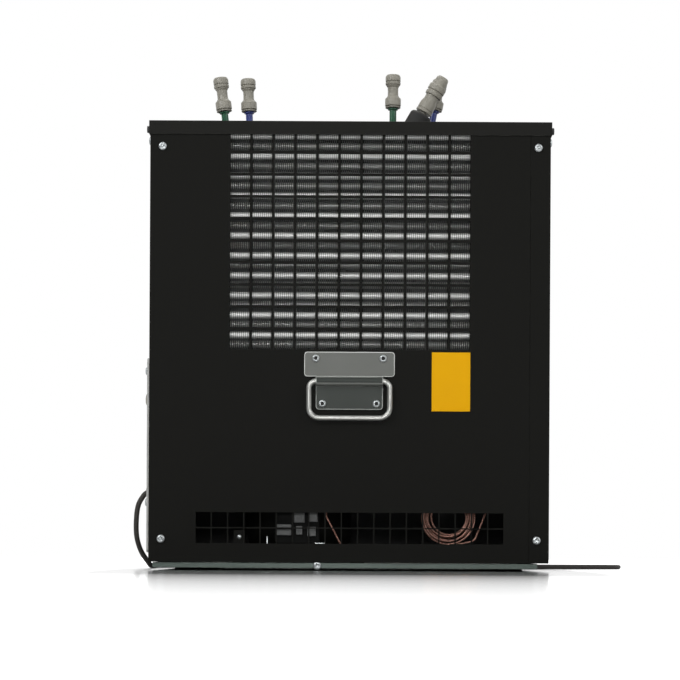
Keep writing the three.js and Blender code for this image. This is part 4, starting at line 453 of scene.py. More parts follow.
# %% [markdown]
# The finishes of this cooler. The cabinet is satin black powder paint, the lid the same paint
# a shade lighter, the tray galvanised, the handle brushed steel with a bright bail, and the
# fittings warm grey plastic.
# %% Finishes
MATERIALS = {
    "black_coat": finish(
        "black_powder_paint", ("#141412", "#171715"), (0.56, 0.62),
        pebbled(1100.0, 0.02), edge=("#353532", 0.5), dusty=0.08, shine=0.06),
    "lid_coat": finish(
        "lid_powder_paint", ("#191917", "#1d1d1b"), (0.52, 0.6),
        pebbled(1000.0, 0.02), edge=("#3e3e3b", 0.6), dusty=0.08, shine=0.08),
    "galvanised": finish(
        "galvanised_tray", ("#434b47", "#56605b"), (0.34, 0.5),
        pebbled(300.0, 0.03), metallic=0.75, dusty=0.15, cloud_scale=55.0),
    # Its edge tone at full strength is a painted highlight along the bends of the handle plates.
    "brushed": finish(
        "brushed_steel", ("#585a56", "#626460"), (0.46, 0.54), BRUSHED, metallic=0.25,
        edge=("#d6d8d4", 24.0), cloud_scale=22.0),
    "bright_steel": finish(
        "polished_steel", ("#acada9", "#b3b4b0"), (0.36, 0.38), metallic=0.9, cloud_scale=40.0),
    # Its near-black edge tone is painted shade where a piece marks its faces: in the recesses of
    # the screw heads, and on the bends of the spade blades.
    "zinc": finish(
        "zinc_plate", ("#b4b9ba", "#c8cdce"), (0.26, 0.36), metallic=0.8,
        edge=("#0d0d0d", 30.0), cloud_scale=130.0),
    # Dark for aluminium: painted shade for the sides of the condenser fins, which lie in each
    # other's shade.
    "aluminium": finish(
        "fin_aluminium_painted_shade", ("#464846", "#545654"), (0.4, 0.55), metallic=0.7, cloud_scale=30.0),
    "copper": finish(
        "drawn_copper", ("#6c4a40", "#a17b6e"), (0.24, 0.36), metallic=0.85, dusty=0.05,
        cloud_scale=160.0),
    "black_plastic": finish(
        "black_moulding", ("#191919", "#212121"), (0.36, 0.5),
        pebbled(1400.0, 0.02), edge=("#50504e", 0.3), dusty=0.15),
    "black_rubber": finish(
        "matt_rubber", ("#141414", "#1e1e1d"), (0.62, 0.8), pebbled(700.0, 0.05),
        dusty=0.2),
    "grey_plastic": finish(
        "grey_acetal", ("#88857b", "#959287"), (0.36, 0.5), pebbled(900.0, 0.02),
        cloud_scale=90.0),
    "light_grey": finish(
        "light_grey_moulding", ("#aaaba8", "#b8b9b6"), (0.4, 0.55), pebbled(1100.0, 0.02),
        dusty=0.1),
    "white_foam": finish(
        "foam_filled_tank", ("#d3d4cf", "#dededa"), (0.45, 0.65), pebbled(400.0, 0.06),
        dusty=0.15),
    "yellow": finish(
        "yellow_film", ("#dca000", "#e1a600"), (0.5, 0.6),
        pebbled(600.0, 0.01), cloud_scale=25.0, shine=0.08),
    "green_line": finish(
        "green_beer_line", ("#27573f", "#2f6448"), (0.2, 0.34), DRAWN, cloud_scale=60.0,
        **{"Subsurface Weight": 0.2, "Subsurface Radius": (0.002, 0.004, 0.003)}),
    "blue_line": finish(
        "blue_beer_line", ("#2f3b78", "#3a478a"), (0.2, 0.34), DRAWN, cloud_scale=60.0,
        **{"Subsurface Weight": 0.2, "Subsurface Radius": (0.002, 0.002, 0.004)}),
    "cord_rubber": finish(
        "lead_jacket", ("#2b2926", "#35322e"), (0.5, 0.65), pebbled(1300.0, 0.02),
        dusty=0.15),
}
# The next two finishes are painted reflections on the handle plates: the tongue's dark tone and
# the bead's bright tone stand for what the steel mirrors. The tongue's edge tone at full
# strength is a painted highlight on its bends.
TONGUE_PAINTED_REFLECTION = finish(
    "handle_tongue_painted_reflection", ("#232924", "#2b302c"), (0.46, 0.56), BRUSHED, metallic=0.25,
    edge=("#b4b8b4", 24.0), cloud_scale=22.0)
BEAD_PAINTED_REFLECTION = finish(
    "handle_bead_painted_reflection", ("#9a9c98", "#a2a4a0"), (0.34, 0.36), metallic=0.85, cloud_scale=40.0)
# The lit copy of the fin aluminium: a painted highlight on the fin edges that face the rear
# panel.
FIN_EDGE_HIGHLIGHT = finish(
    "fin_edge_painted_highlight", ("#5c5e5c", "#6e706e"), (0.5, 0.65), metallic=0.2, cloud_scale=120.0)
# Near white: the collars' aluminium lightened into a painted highlight for the lit bands on the
# condenser tubes.
COLLAR_HIGHLIGHT = finish(
    "fin_collar_painted_highlight", ("#eaebe8", "#f0f0ee"), (0.42, 0.46), metallic=0.4, cloud_scale=90.0)
RELAY_GREY = finish(
    "terminal_grey", ("#3e403f", "#4b4d4c"), (0.4, 0.55), dusty=0.1, cloud_scale=90.0)
# Painted shade: the relay case sits in the dark behind the vent, and its near-black finish
# stands for that.
RELAY_SHADE = finish(
    "relay_shade", ("#0e0f0e", "#141514"), (0.5, 0.65), cloud_scale=90.0, shine=0.06)
# Painted shade: the near-black finish of the sheet that darkens the machine room behind the
# grille.
SHADE_SHEET = finish("machine_room_painted_shade", ("#0d0d0c", "#131312"), (0.6, 0.75))
slot_of_node = {s["node"]: s["material_slot"] for s in frame["record"]["subparts"]}
for name, solid in frame["nodes"].items():
    solid.data.materials.clear()
    solid.data.materials.append(MATERIALS[slot_of_node[name]])
print(len(MATERIALS), "finishes on", len(slot_of_node), "solids")

# %% [markdown]
# Every new piece ends the same way: it gets its finish, sharp edges are marked by their angle,
# it rides on the body of the solid it stands for, and the solids it replaces are hidden.
# %% Finishing a piece


def outward(piece):
    work = bmesh.new()
    work.from_mesh(piece.data)
    bmesh.ops.remove_doubles(work, verts=work.verts, dist=1e-6)
    bmesh.ops.recalc_face_normals(work, faces=work.faces)
    work.to_mesh(piece.data)
    work.free()
    return piece


def smoothed(mesh, angle=35):
    mesh.shade_smooth()
    mesh.set_sharp_from_angle(angle=math.radians(angle))


def hand_over(piece, slot, body="cabinet", replaces=(), angle=35, sharp=True):
    if not piece.data.materials:
        piece.data.materials.append(MATERIALS[slot])
    if sharp and piece.type == "MESH":
        smoothed(piece.data, angle)
    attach(piece, body)
    if replaces:
        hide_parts(*replaces)
    return piece


def made_plain(piece):
    graph = bpy.context.evaluated_depsgraph_get()
    mesh = bpy.data.meshes.new_from_object(piece.evaluated_get(graph))
    piece.modifiers.clear()
    piece.data = mesh
    for slot in reversed(range(len(mesh.materials))):
        if slot and mesh.materials[0] is None and mesh.materials[slot] is not None:
            mesh.materials.pop(index=0)
            break
    return piece


# %% [markdown]
# Sheet metal has no knife edges: a folded lid or panel turns over a small radius that draws a
# thin line of light. `bent_edges` rounds every edge with a bevel and then sets the normals, so
# a flat face stays flat to the light and only the narrow bend turns from one face to the
# next. The bends are also marked with an attribute, which the edge group reads for its wear
# and for its painted sheen and highlight.
# %% Bends
BEND_ANGLE = math.radians(30)
SAME_SIDE = 0.3
NEARLY_FLAT = 0.87
NO_AREA = 1e-14


def bent_edges(piece, radius, segments, clamp=True):
    mesh = piece.data
    mesh.materials.clear()
    mesh.materials.append(None)
    mesh.materials.append(None)
    edge = piece.modifiers.new("edge", "BEVEL")
    edge.width = radius * MM
    edge.segments = segments
    edge.limit_method = "ANGLE"
    edge.angle_limit = BEND_ANGLE
    edge.use_clamp_overlap = clamp
    edge.material = 1
    mesh = made_plain(piece).data
    faces = mesh.polygons
    bend = [face.material_index == 1 for face in faces]
    way = [face.normal.copy() for face in faces]
    around = [[] for _ in mesh.vertices]
    for face in faces:
        for corner in face.vertices:
            around[corner].append(face.index)
    normals = []
    for face in faces:
        here = face.index
        for corner in face.vertices:
            sheets = [i for i in around[corner] if not bend[i]]
            if bend[here]:
                near = [i for i in sheets or around[corner]
                        if way[i].dot(way[here]) > SAME_SIDE]
            else:
                near = [i for i in sheets if way[i].dot(way[here]) > NEARLY_FLAT]
            total = sum((way[i] * faces[i].area for i in near), Vector())
            normals.append(total.normalized() if total.length > NO_AREA else way[here])
    mesh.shade_smooth()
    mesh.normals_split_custom_set(normals)
    mesh.attributes.new("rub_and_painted_light", "FLOAT", "FACE").data.foreach_set(
        "value", [float(is_bend) for is_bend in bend])
    mesh.polygons.foreach_set("material_index", [0] * len(bend))
    mesh.materials.clear()
    return piece


# %% [markdown]
# For each panel and moulding, a copy of the solid is merged, its flat faces are joined up
# again, and its edges are bent to a real radius. A row of the table gives the solid, the new
# piece, the radius in millimetres, the steps of the bend, and the body if it is a moving one.
# %% Rounded copies of the panels and mouldings
SAME_POINT = 1e-5
FLAT_ANGLE = math.radians(0.5)


def from_work(name, work):
    mesh = bpy.data.meshes.new(name)
    work.to_mesh(mesh)
    work.free()
    return put(name, mesh)


def rounded(node_name, piece_name, radius, segments, body="cabinet"):
    mesh = frame["nodes"][node_name].data.copy()
    work = bmesh.new()
    work.from_mesh(mesh)
    bmesh.ops.remove_doubles(work, verts=work.verts, dist=SAME_POINT)
    bmesh.ops.dissolve_limit(
        work, angle_limit=FLAT_ANGLE, verts=work.verts, edges=work.edges)
    work.to_mesh(mesh)
    work.free()
    piece = put(piece_name, mesh)
    bent_edges(piece, radius, segments, clamp=not node_name.endswith("handle_plate"))
    return hand_over(piece, slot_of_node[node_name], body, (node_name,), sharp=False)


ROUNDED = [
    ("rear_panel", "rear_skin", 0.25, 1),
    ("left_side_panel", "left_skin", 0.5, 3),
    ("right_side_panel", "right_skin", 0.5, 3),
    ("front_panel", "front_skin", 0.4, 2),
    ("lid", "folded_lid", 0.55, 3),
    ("base_tray", "galvanised_tray", 0.6, 3),
    ("fill_hatch", "hatch_moulding", 0.8, 3, "hatch"),
    ("left_grommet", "left_rubber", 0.9, 3),
    ("right_grommet", "right_rubber", 0.9, 3),
    ("control_cover", "cover_moulding", 0.8, 3),
    ("rocker_switch", "rocker_key", 0.4, 3, "rocker"),
    ("thermostat_knob", "turning_knob", 0.35, 3, "knob"),
    ("insulated_tank", "tank_shell", 3.0, 3),
    ("relay_box", "relay_case", 0.8, 3),
    ("agitator_motor", "agitator_motor_case", 0.7, 2),
    ("agitator", "agitator_shaft_and_blades", 0.4, 2, "agitator_shaft"),
    ("fan_shroud", "shroud_pressing", 0.3, 2),
    ("fan_blade", "fan_pressing", 0.3, 2, "fan"),
    ("fan_motor", "fan_motor_case", 0.8, 2),
    ("yellow_plate", "bare_yellow_film", 0.12, 1),
    ("rear_handle_plate", "rear_handle_pressing", 0.95, 3),
    ("front_handle_plate", "front_handle_pressing", 0.95, 3),
    ("filter_drier", "drier_shell", 1.0, 2),
]
rounded_pieces = {row[1]: rounded(*row) for row in ROUNDED}
for corner in range(1, 5):
    rounded(f"foot_{corner}", f"rubber_foot_{corner}", 0.5, 2)
print("rounded copies:", len(ROUNDED) + 4)

# %% [markdown]
# The handle plate is one pressing of one steel, but the photograph shows three tones on it. The
# bead is bright at its top and foot and the tongue is dark, because they mirror different parts
# of a room that isn't built here. So the tones are painted: two more finishes go on strips of
# faces, chosen by height. They copy the reflections and are no change of metal.
# %% Three tones on the handle plates
STRIPS = [(242.3, 0), (240.4, 2), (234.6, 1), (230, 2), (0, 1)]
for word in ("rear", "front"):
    plate = rounded_pieces[f"{word}_handle_pressing"].data
    plate.materials.append(TONGUE_PAINTED_REFLECTION)
    plate.materials.append(BEAD_PAINTED_REFLECTION)
    for face in plate.polygons:
        height = face.center.z / MM
        face.material_index = next(look for foot, look in STRIPS if height > foot)

# %% [markdown]
# Tubes are everywhere in a cooler: beer lines, copper, the wire of the handle. One geometry
# nodes tree serves them all. It turns a chain of edges into a curve, rounds each corner to a
# bend radius with Fillet Curve, and sweeps a circle along it. The tree has named inputs for
# its radii, so each tube is one chain of corner points and a few numbers.
# %% Tube tree


def geometry_tree(name, inputs):
    tree = bpy.data.node_groups.new(name, "GeometryNodeTree")
    tree.interface.new_socket(name="Geometry", in_out="INPUT", socket_type="NodeSocketGeometry")
    for title, kind, value in inputs:
        socket = tree.interface.new_socket(name=title, in_out="INPUT", socket_type=kind)
        if value is not None:
            socket.default_value = value
    tree.interface.new_socket(name="Geometry", in_out="OUTPUT", socket_type="NodeSocketGeometry")
    return tree, node(tree, "NodeGroupInput"), node(tree, "NodeGroupOutput")


def finish_tree(tree, given, result, geometry):
    real = node(tree, "GeometryNodeRealizeInstances", {0: geometry})
    dressed = node(tree, "GeometryNodeSetMaterial", {
        "Geometry": real.outputs[0], "Material": given.outputs["Finish"],
    })
    tree.links.new(dressed.outputs[0], result.inputs[0])
    return dressed


def grow(piece, tree, values):
    growing = piece.modifiers.new("grow", "NODES")
    growing.node_group = tree
    for item in tree.interface.items_tree:
        if item.in_out == "INPUT" and item.name in values:
            growing[item.identifier] = values[item.name]
    return made_plain(piece)


WHOLE = "NodeSocketInt"
tube_tree, given, result = geometry_tree("tube_along_a_path", [
    ("Radius", NUMBER, 0.004), ("Bend", NUMBER, 0.01), ("Bend Steps", WHOLE, 8),
    ("Sides", WHOLE, 16), ("Finish", "NodeSocketMaterial", None),
])
chain = node(tube_tree, "GeometryNodeMeshToCurve", {"Mesh": given.outputs["Geometry"]})
filleted = node(tube_tree, "GeometryNodeFilletCurve", {
    "Curve": chain.outputs[0], "Radius": given.outputs["Bend"],
    "Count": given.outputs["Bend Steps"], "Limit Radius": True,
}, mode="POLY")
section = node(tube_tree, "GeometryNodeCurvePrimitiveCircle", {
    "Radius": given.outputs["Radius"], "Resolution": given.outputs["Sides"],
})
swept = node(tube_tree, "GeometryNodeCurveToMesh", {
    "Curve": filleted.outputs[0], "Profile Curve": section.outputs[0], "Fill Caps": True,
})
finish_tree(tube_tree, given, result, swept.outputs[0])


def tube(name, corners, diameter, bend, slot, replaces=(), body="cabinet", sides=16,
         bend_steps=8, rim=0.0):
    piece = new_piece(name, [Vector(corner) * MM for corner in corners], [],
                      [(i, i + 1) for i in range(len(corners) - 1)])
    grow(piece, tube_tree, {
        "Radius": diameter / 2 * MM, "Bend": bend * MM, "Bend Steps": bend_steps,
        "Sides": sides, "Finish": MATERIALS[slot],
    })
    if rim:
        soft = piece.modifiers.new("rim", "BEVEL")
        soft.width, soft.segments = rim * MM, 6
        soft.angle_limit = math.radians(60)
        made_plain(piece)
    outward(piece)
    return hand_over(piece, slot, body, replaces, angle=50)


# %% [markdown]
# The fittings need to know where they stand before their lines are drawn. Each beer line rises
# from a steel coil in the tank, runs under the lid, stands up through its rubber grommet and
# leans into its fitting, green for one product and blue for the other.
# %% Beer lines, coils and the chilled water line
CONNECTORS = [
    {"x": -172.9, "y": 10, "z": 625, "lean": -7, "slot": "green_line"},
    {"x": -139, "y": 10, "z": 625, "lean": -2.4, "slot": "blue_line"},
    {"x": 57.6, "y": 10, "z": 631, "lean": 0, "slot": "green_line"},
    {"x": 115, "y": 30, "z": 632, "lean": 11, "slot": "blue_line"},
]
PYTHON = {"x": 98.4, "y": -4, "z": 622, "lean": 30}
LINE_DIAMETER = 9.5
SOCKET_DEPTH = 14
SOCKET_GAP = 0.3
LINE_BEND_HEIGHT = 34
PYTHON_BEND_HEIGHT = 56
RISER_TOP_Z = 440
COIL_MIDDLE = (108, 95)
RISER_RADIUS = 80
COIL_RADIUS = 64
COIL_TURNS = 5
COIL_RISE = 26
COIL_FOOT_Z = 49.85


def leaning(spec, reach):
    angle = math.radians(spec["lean"])
    return (
        spec["x"] + math.sin(angle) * reach,
        spec["y"],
        spec["z"] + math.cos(angle) * reach,
    )


def plumb_x(spec, height):
    return spec["x"] - math.tan(math.radians(spec["lean"])) * height / 2


def product_coil(side):
    first, sweep = math.radians(-78), math.radians(COIL_TURNS * 360 - 24)
    steps = COIL_TURNS * 40
    loops = []
    for i in range(steps + 1):
        turn = i / steps * COIL_TURNS
        swing = max(0, 1 - min(turn, COIL_TURNS - turn) / 0.17)
        radius = COIL_RADIUS + (RISER_RADIUS - COIL_RADIUS) * swing
        angle = first + i / steps * sweep
        loops.append((
            side * COIL_MIDDLE[0] + radius * math.cos(angle),
            COIL_MIDDLE[1] + radius * math.sin(angle),
            COIL_FOOT_Z + turn * COIL_RISE,
        ))
    low, high = loops[0], loops[-1]
    return [
        (low[0], low[1], RISER_TOP_Z), (low[0], low[1], low[2] + 12), *loops,
        (high[0], high[1], high[2] + 12), (high[0], high[1], RISER_TOP_Z),
    ]


for number, side in ((1, -1), (2, 1)):
    tube(f"steel_product_coil_{number}", product_coil(side), LINE_DIAMETER, 0,
         "bright_steel", (f"product_coil_{number}",), sides=12)

for i, spec in enumerate(CONNECTORS):
    side = -1 if i < 2 else 1
    ends = (product_coil(side)[-1], product_coil(side)[0])
    riser = ends[i % 2]
    plumb = plumb_x(spec, LINE_BEND_HEIGHT)
    tube(f"beer_tube_{i + 1}", [
        (riser[0], riser[1], RISER_TOP_Z + 0.3),
        (riser[0], riser[1], RISER_TOP_Z + 20),
        (plumb, spec["y"], RISER_TOP_Z + 70),
        (plumb, spec["y"], spec["z"] - LINE_BEND_HEIGHT / 2),
        leaning(spec, SOCKET_DEPTH - SOCKET_GAP),
    ], LINE_DIAMETER, 26, spec["slot"], (f"beer_line_{i + 1}",), sides=24)

sleeve_x = plumb_x(PYTHON, PYTHON_BEND_HEIGHT)
water_bend = (sleeve_x, PYTHON["y"], PYTHON["z"] - PYTHON_BEND_HEIGHT / 2)
tube("water_tube", [
    (0, 60.7, 454.8), (0, PYTHON["y"], 454.8), (sleeve_x, PYTHON["y"], 454.8),
    water_bend, leaning(PYTHON, SOCKET_DEPTH - SOCKET_GAP),
], LINE_DIAMETER, 26, "grey_plastic", ("python_line",))

# %% [markdown]
# The refrigerant path is copper: the condenser's staggered runs with their return bends, the
# evaporator wound inside the tank wall, the capillary with its spare length wound into a
# bundle that shows through the vent, and the black-sleeved suction line back to the pot.
# %% Copper tubes
TUBE_TOP_Z = 546.6
TUBE_STEP = 25
BACK_ROW_DROP = 9
FRONT_TUBE_Y = -217.8
BACK_TUBE_Y = -195.8
TUBE_END_X = 168.5
TUBE_DIAMETER = 8
TUBES_A_ROW = 11
BEND_STEPS = 10


def half_turn(side, here, there):
    middle_y, middle_z = (here[0] + there[0]) / 2, (here[1] + there[1]) / 2
    spoke_y, spoke_z = here[0] - middle_y, here[1] - middle_z
    radius = math.hypot(spoke_y, spoke_z)
    for step in range(1, BEND_STEPS):
        angle = step / BEND_STEPS * math.pi
        yield (
            side * (TUBE_END_X + radius * math.sin(angle)),
            middle_y + spoke_y * math.cos(angle),
            middle_z + spoke_z * math.cos(angle),
        )


def condenser_runs():
    runs = []
    for i in range(TUBES_A_ROW):
        z = TUBE_TOP_Z - i * TUBE_STEP
        runs += [(FRONT_TUBE_Y, z), (BACK_TUBE_Y, z - BACK_ROW_DROP)]
    points = [(-TUBE_END_X, *runs[0])]
    for i, run in enumerate(runs):
        side = 1 if i % 2 == 0 else -1
        points.append((side * TUBE_END_X, *run))
        if i + 1 < len(runs):
            points += half_turn(side, run, runs[i + 1])
            points.append((side * TUBE_END_X, *runs[i + 1]))
    return points


def rounded_corners(corners, radius, steps):
    places = [Vector(c) for c in corners]
    points = [places[0]]
    for before, here, after in zip(places, places[1:], places[2:]):
        back, ahead = (before - here).normalized(), (after - here).normalized()
        half = back.angle(ahead) / 2
        centre = here + (back + ahead).normalized() * radius / math.sin(half)
        start = here + back * radius / math.tan(half) - centre
        end = here + ahead * radius / math.tan(half) - centre
        sweep = start.angle(end)
        for step in range(steps + 1):
            share = step / steps
            points.append(centre + (start * math.sin((1 - share) * sweep)
                                    + end * math.sin(share * sweep)) / math.sin(sweep))
    return [tuple(p) for p in (*points, places[-1])]


runs = condenser_runs()
discharge = rounded_corners([
    (-133.3, -128, 150), (-200, -128, 150), (-200, -128, TUBE_TOP_Z),
    (-200, FRONT_TUBE_Y, TUBE_TOP_Z), runs[0],
], 16, 6)
liquid = rounded_corners([
    runs[-1], (-192, BACK_TUBE_Y, runs[-1][2]), (-192, BACK_TUBE_Y, 236.3),
], 16, 6)
tube("condenser_copper", [*discharge, *runs[1:-1], *liquid], TUBE_DIAMETER, 0, "copper",
     ("condenser_tubes",), sides=14)


EVAPORATOR_TURNS = 6
EVAPORATOR_FOOT_Z = 110
EVAPORATOR_RISE = 28
CORNER_STEPS = 6


def evaporator_points():
    half_x, low_y, high_y, corner = 194.95, -13.95, 205.95, 30
    plan = []
    for cx, cy, quarter in ((half_x, low_y, -1), (half_x, high_y, 0),
                            (-half_x, high_y, 1), (-half_x, low_y, 2)):
        inner_x = cx - math.copysign(corner, cx)
        inner_y = cy + corner if cy == low_y else cy - corner
        for step in range(CORNER_STEPS + 1):
            angle = (quarter + step / CORNER_STEPS) * math.pi / 2
            plan.append((inner_x + corner * math.cos(angle), inner_y + corner * math.sin(angle)))
    return [(*plan[i % len(plan)], EVAPORATOR_FOOT_Z + i / len(plan) * EVAPORATOR_RISE)
            for i in range(EVAPORATOR_TURNS * len(plan))]


tube("evaporator_copper", evaporator_points(), LINE_DIAMETER, 0, "copper",
     ("evaporator_coil",), sides=12)

CAPILLARY_PLACE = (125, -224, 68)
CAPILLARY_DIAMETER = 2.5
wound = two_layer_loops(34, 4.2, 3.3, 3, -math.pi / 2, steps=32)
bundle = []
for i, (across, up, deep) in enumerate(wound):
    swell = 1 + 0.05 * math.sin(0.27 * i) * math.sin(math.pi * i / (len(wound) - 1))
    bundle.append((
        CAPILLARY_PLACE[0] + across * swell,
        CAPILLARY_PLACE[1] + deep,
        CAPILLARY_PLACE[2] + up * swell,
    ))
lead_in = rounded_corners([
    (-192, BACK_TUBE_Y, 135.7), (-192, BACK_TUBE_Y, 120), (-160, -224, 120),
    (-32, -224, 120), (-28, -224, 68), (-8, -224, 29), (96, -224, 29),
], 12, 6)
lead_out = rounded_corners([
    (142, -220.7, 35), (158, -220.7, 38), (173, -220.7, 76), (181, -220.7, 164),
    (181, -44.3, 164),
], 9, 6)
tube("capillary_copper", [*lead_in, *bundle, *lead_out], CAPILLARY_DIAMETER, 0, "copper",
     ("capillary_coil",), sides=10)
tube("suction_tube", rounded_corners([
    (3.3, -128, 96), (71, -128, 96), (71, -76, 96), (71, -76, 390), (71, -44.3, 390),
], 16, 8), LINE_DIAMETER, 0, "black_rubber", ("suction_line",), sides=14)

# %% [markdown]
# The condenser is a pack of thin aluminium fins, one every 2.56 mm, pressed onto the tubes. The
# CAD solid only hints at them with a coarse comb. Geometry nodes set one slightly waved fin
# along a line, so the real pitch costs no more work than the coarse one.
# %% Fin pack
FIN_PITCH = 2.56
FIN_COUNT = 129
FIN_SHEET = 0.45
CORE_Y = (-228.8, -184.8)
CORE_Z = (268, 553)
WAVE_HEIGHT = 0.12
WAVE_TURN = 570.0

fin_tree, given, result = geometry_tree("fins_on_a_line", [
    ("Count", WHOLE, 10), ("Pitch", NUMBER, 0.002), ("Fin Size", ARROW, (0.001, 0.04, 0.3)),
    ("Wave", NUMBER, 0.0002), ("Centre", ARROW, (0, 0, 0)),
    ("Finish", "NodeSocketMaterial", None), ("Edge Finish", "NodeSocketMaterial", None),
])
blank = node(fin_tree, "GeometryNodeMeshCube", {
    "Size": given.outputs["Fin Size"], "Vertices X": 2, "Vertices Y": 9, "Vertices Z": 2,
})
spot = node(fin_tree, "GeometryNodeInputPosition")
spot_axes = node(fin_tree, "ShaderNodeSeparateXYZ", {0: spot.outputs[0]})
phase = maths(fin_tree, "MULTIPLY", spot_axes.outputs["Y"], WAVE_TURN)
sway = maths(fin_tree, "MULTIPLY", maths(fin_tree, "SINE", phase), given.outputs["Wave"])
offset = node(fin_tree, "ShaderNodeCombineXYZ", {"X": sway})
waved = node(fin_tree, "GeometryNodeSetPosition", {
    "Geometry": blank.outputs["Mesh"], "Offset": offset.outputs[0],
})
step = node(fin_tree, "ShaderNodeCombineXYZ", {"X": given.outputs["Pitch"]})
gaps = maths(fin_tree, "ADD", given.outputs["Count"], -1.0)
half = maths(fin_tree, "MULTIPLY", gaps, -0.5)
back_off = maths(fin_tree, "MULTIPLY", half, given.outputs["Pitch"])
first_x = node(fin_tree, "ShaderNodeCombineXYZ", {"X": back_off})
first = arrows(fin_tree, "ADD", first_x.outputs[0], given.outputs["Centre"])
row = node(fin_tree, "GeometryNodeMeshLine", {
    "Count": given.outputs["Count"], "Start Location": first,
    "Offset": step.outputs[0],
}, mode="OFFSET")
pack = node(fin_tree, "GeometryNodeInstanceOnPoints", {
    "Points": row.outputs[0], "Instance": waved.outputs[0],
})
dressed = finish_tree(fin_tree, given, result, pack.outputs[0])
# The faces that look to the rear, the fin edges, get the lighter edge finish as a painted
# highlight; the dark sides are painted shade.
facing = node(fin_tree, "GeometryNodeInputNormal")
facing_axes = node(fin_tree, "ShaderNodeSeparateXYZ", {0: facing.outputs[0]})
rearward = maths(fin_tree, "LESS_THAN", facing_axes.outputs["Y"], -0.9)
edged = node(fin_tree, "GeometryNodeSetMaterial", {
    "Geometry": dressed.outputs[0], "Selection": rearward,
    "Material": given.outputs["Edge Finish"],
})
fin_tree.links.new(edged.outputs[0], result.inputs[0])

fins = new_piece("condenser_fin_pack", [], [])
grow(fins, fin_tree, {
    "Count": FIN_COUNT, "Pitch": FIN_PITCH * MM,
    "Fin Size": (FIN_SHEET * MM, (CORE_Y[1] - CORE_Y[0]) * MM, (CORE_Z[1] - CORE_Z[0]) * MM),
    "Wave": WAVE_HEIGHT * MM,
    "Centre": (0, sum(CORE_Y) / 2 * MM, sum(CORE_Z) / 2 * MM),
    "Finish": MATERIALS["aluminium"], "Edge Finish": FIN_EDGE_HIGHLIGHT,
})
hand_over(fins, "aluminium", replaces=("condenser_fins",), sharp=False)
print("fin pack:", len(fins.data.polygons), "faces")

# %% [markdown]
# Inside the pack the copper is out of sight, because each fin has a collar round the tube, and
# the runs show as bright bands. The collars are aluminium, and their near-white tone is a
# painted highlight for the light on those bands. The collars are drawn for that look and not in
# their true place. Round the tubes they would lie in the shade of the fins, so the front row is
# set 5 mm and the back row 12.2 mm nearer the rear panel than the tubes that they stand for. The
# tube tree sweeps all 22 runs at once, because a mesh may hold many separate chains.
# %% Fin collars
COLLAR_DIAMETER = 8.5
COLLAR_ROWS = ((-222.8, -1.1), (-208, -11))
CORE_HALF = 164.6
rows = [(y, TUBE_TOP_Z - i * TUBE_STEP + lift)
        for i in range(TUBES_A_ROW) for y, lift in COLLAR_ROWS]
collars = new_piece(
    "fin_collars",
    [(x * MM, y * MM, z * MM) for y, z in rows for x in (-CORE_HALF, CORE_HALF)], [],
    [(2 * i, 2 * i + 1) for i in range(len(rows))])
grow(collars, tube_tree, {
    "Radius": COLLAR_DIAMETER / 2 * MM, "Bend": 0.0, "Bend Steps": 1, "Sides": 16,
    "Finish": COLLAR_HIGHLIGHT,
})
hand_over(collars, "aluminium", angle=50)
print("collars:", len(rows))

# %% [markdown]
# Each end of the pack has a folded galvanised sheet that carries the tubes and is screwed to
# the rear panel by its flange.
# %% Condenser end sheets
END_SHEET_X = (165, 166.5)
END_FLANGE_X = (165, 180.5)
FLANGE_Y = (-238.5, -237.3)


def boxes(name, spans, bevel=0.3, segments=2):
    work = bmesh.new()
    for (x0, x1), (y0, y1), (z0, z1) in spans:
        size = Vector((x1 - x0, y1 - y0, z1 - z0)) * MM
        middle = Vector((x0 + x1, y0 + y1, z0 + z1)) / 2 * MM
        bmesh.ops.create_cube(work, size=1, matrix=Matrix.LocRotScale(middle, None, size))
    return bent_edges(from_work(name, work), bevel, segments)


for side, word in ((-1, "left"), (1, "right")):
    sheet_x = sorted(side * edge for edge in END_SHEET_X)
    flange_x = sorted(side * edge for edge in END_FLANGE_X)
    ends = boxes(f"{word}_end_sheet", [
        (sheet_x, (FLANGE_Y[0], CORE_Y[1]), CORE_Z), (flange_x, FLANGE_Y, CORE_Z),
    ])
    hand_over(ends, "galvanised", sharp=False)

# %% [markdown]
# Through the grille and the vent the room behind looks black. A thin near-black sheet on the
# tank's rear wall is painted shade for that, where bare white foam would glow between the fins.
# The relay case gets a near-black finish too, as painted shade. In front of the relay stand grey
# terminals, which catch a little light through the vent.
# %% Painted shade sheet, relay and terminals
shade_sheet = boxes("dark_lining", [((-243, 243), (-46.4, -45.8), (13, 543))], 0.2, 1)
shade_sheet.data.materials.append(SHADE_SHEET)
hand_over(shade_sheet, "black_coat", sharp=False)
rounded_pieces["relay_case"].data.materials[0] = RELAY_SHADE
terminals = boxes("terminal_blocks", [
    ((-91, -72), (-228, -222), (53.5, 58)), ((-91, -72), (-226, -222), (44, 51.5)),
    ((-69, -55), (-225, -222), (60, 73)), ((-51, -39), (-227, -222), (61, 74)),
    ((-66, -58), (-226, -222), (45, 56)), ((-52, -41), (-228, -222), (43, 55)),
], 0.8, 2)
terminals.data.materials.append(RELAY_GREY)
hand_over(terminals, "light_grey", sharp=False)
blades = boxes("spade_blades", [
    ((-103, -101.4), (-226, -223), (31, 43)), ((-42, -30), (-229, -226), (33.5, 35)),
], 0.2, 1)
hand_over(blades, "zinc", sharp=False)
earth_tab = boxes("earth_tab", [
    ((-144, -130), (-229, -228), (27, 50)), ((-144, -130), (-228.5, -186), (26, 27)),
], 0.4, 2)
hand_over(earth_tab, "black_coat", sharp=False)

# %% [markdown]
# A turned piece is a profile of radius and height swung about an axis. The fittings, the
# compressor pot, the strain relief and the screws all start this way. A second outline can cut
# flats across the round, as on a hexagon nut.
# %% Turned pieces


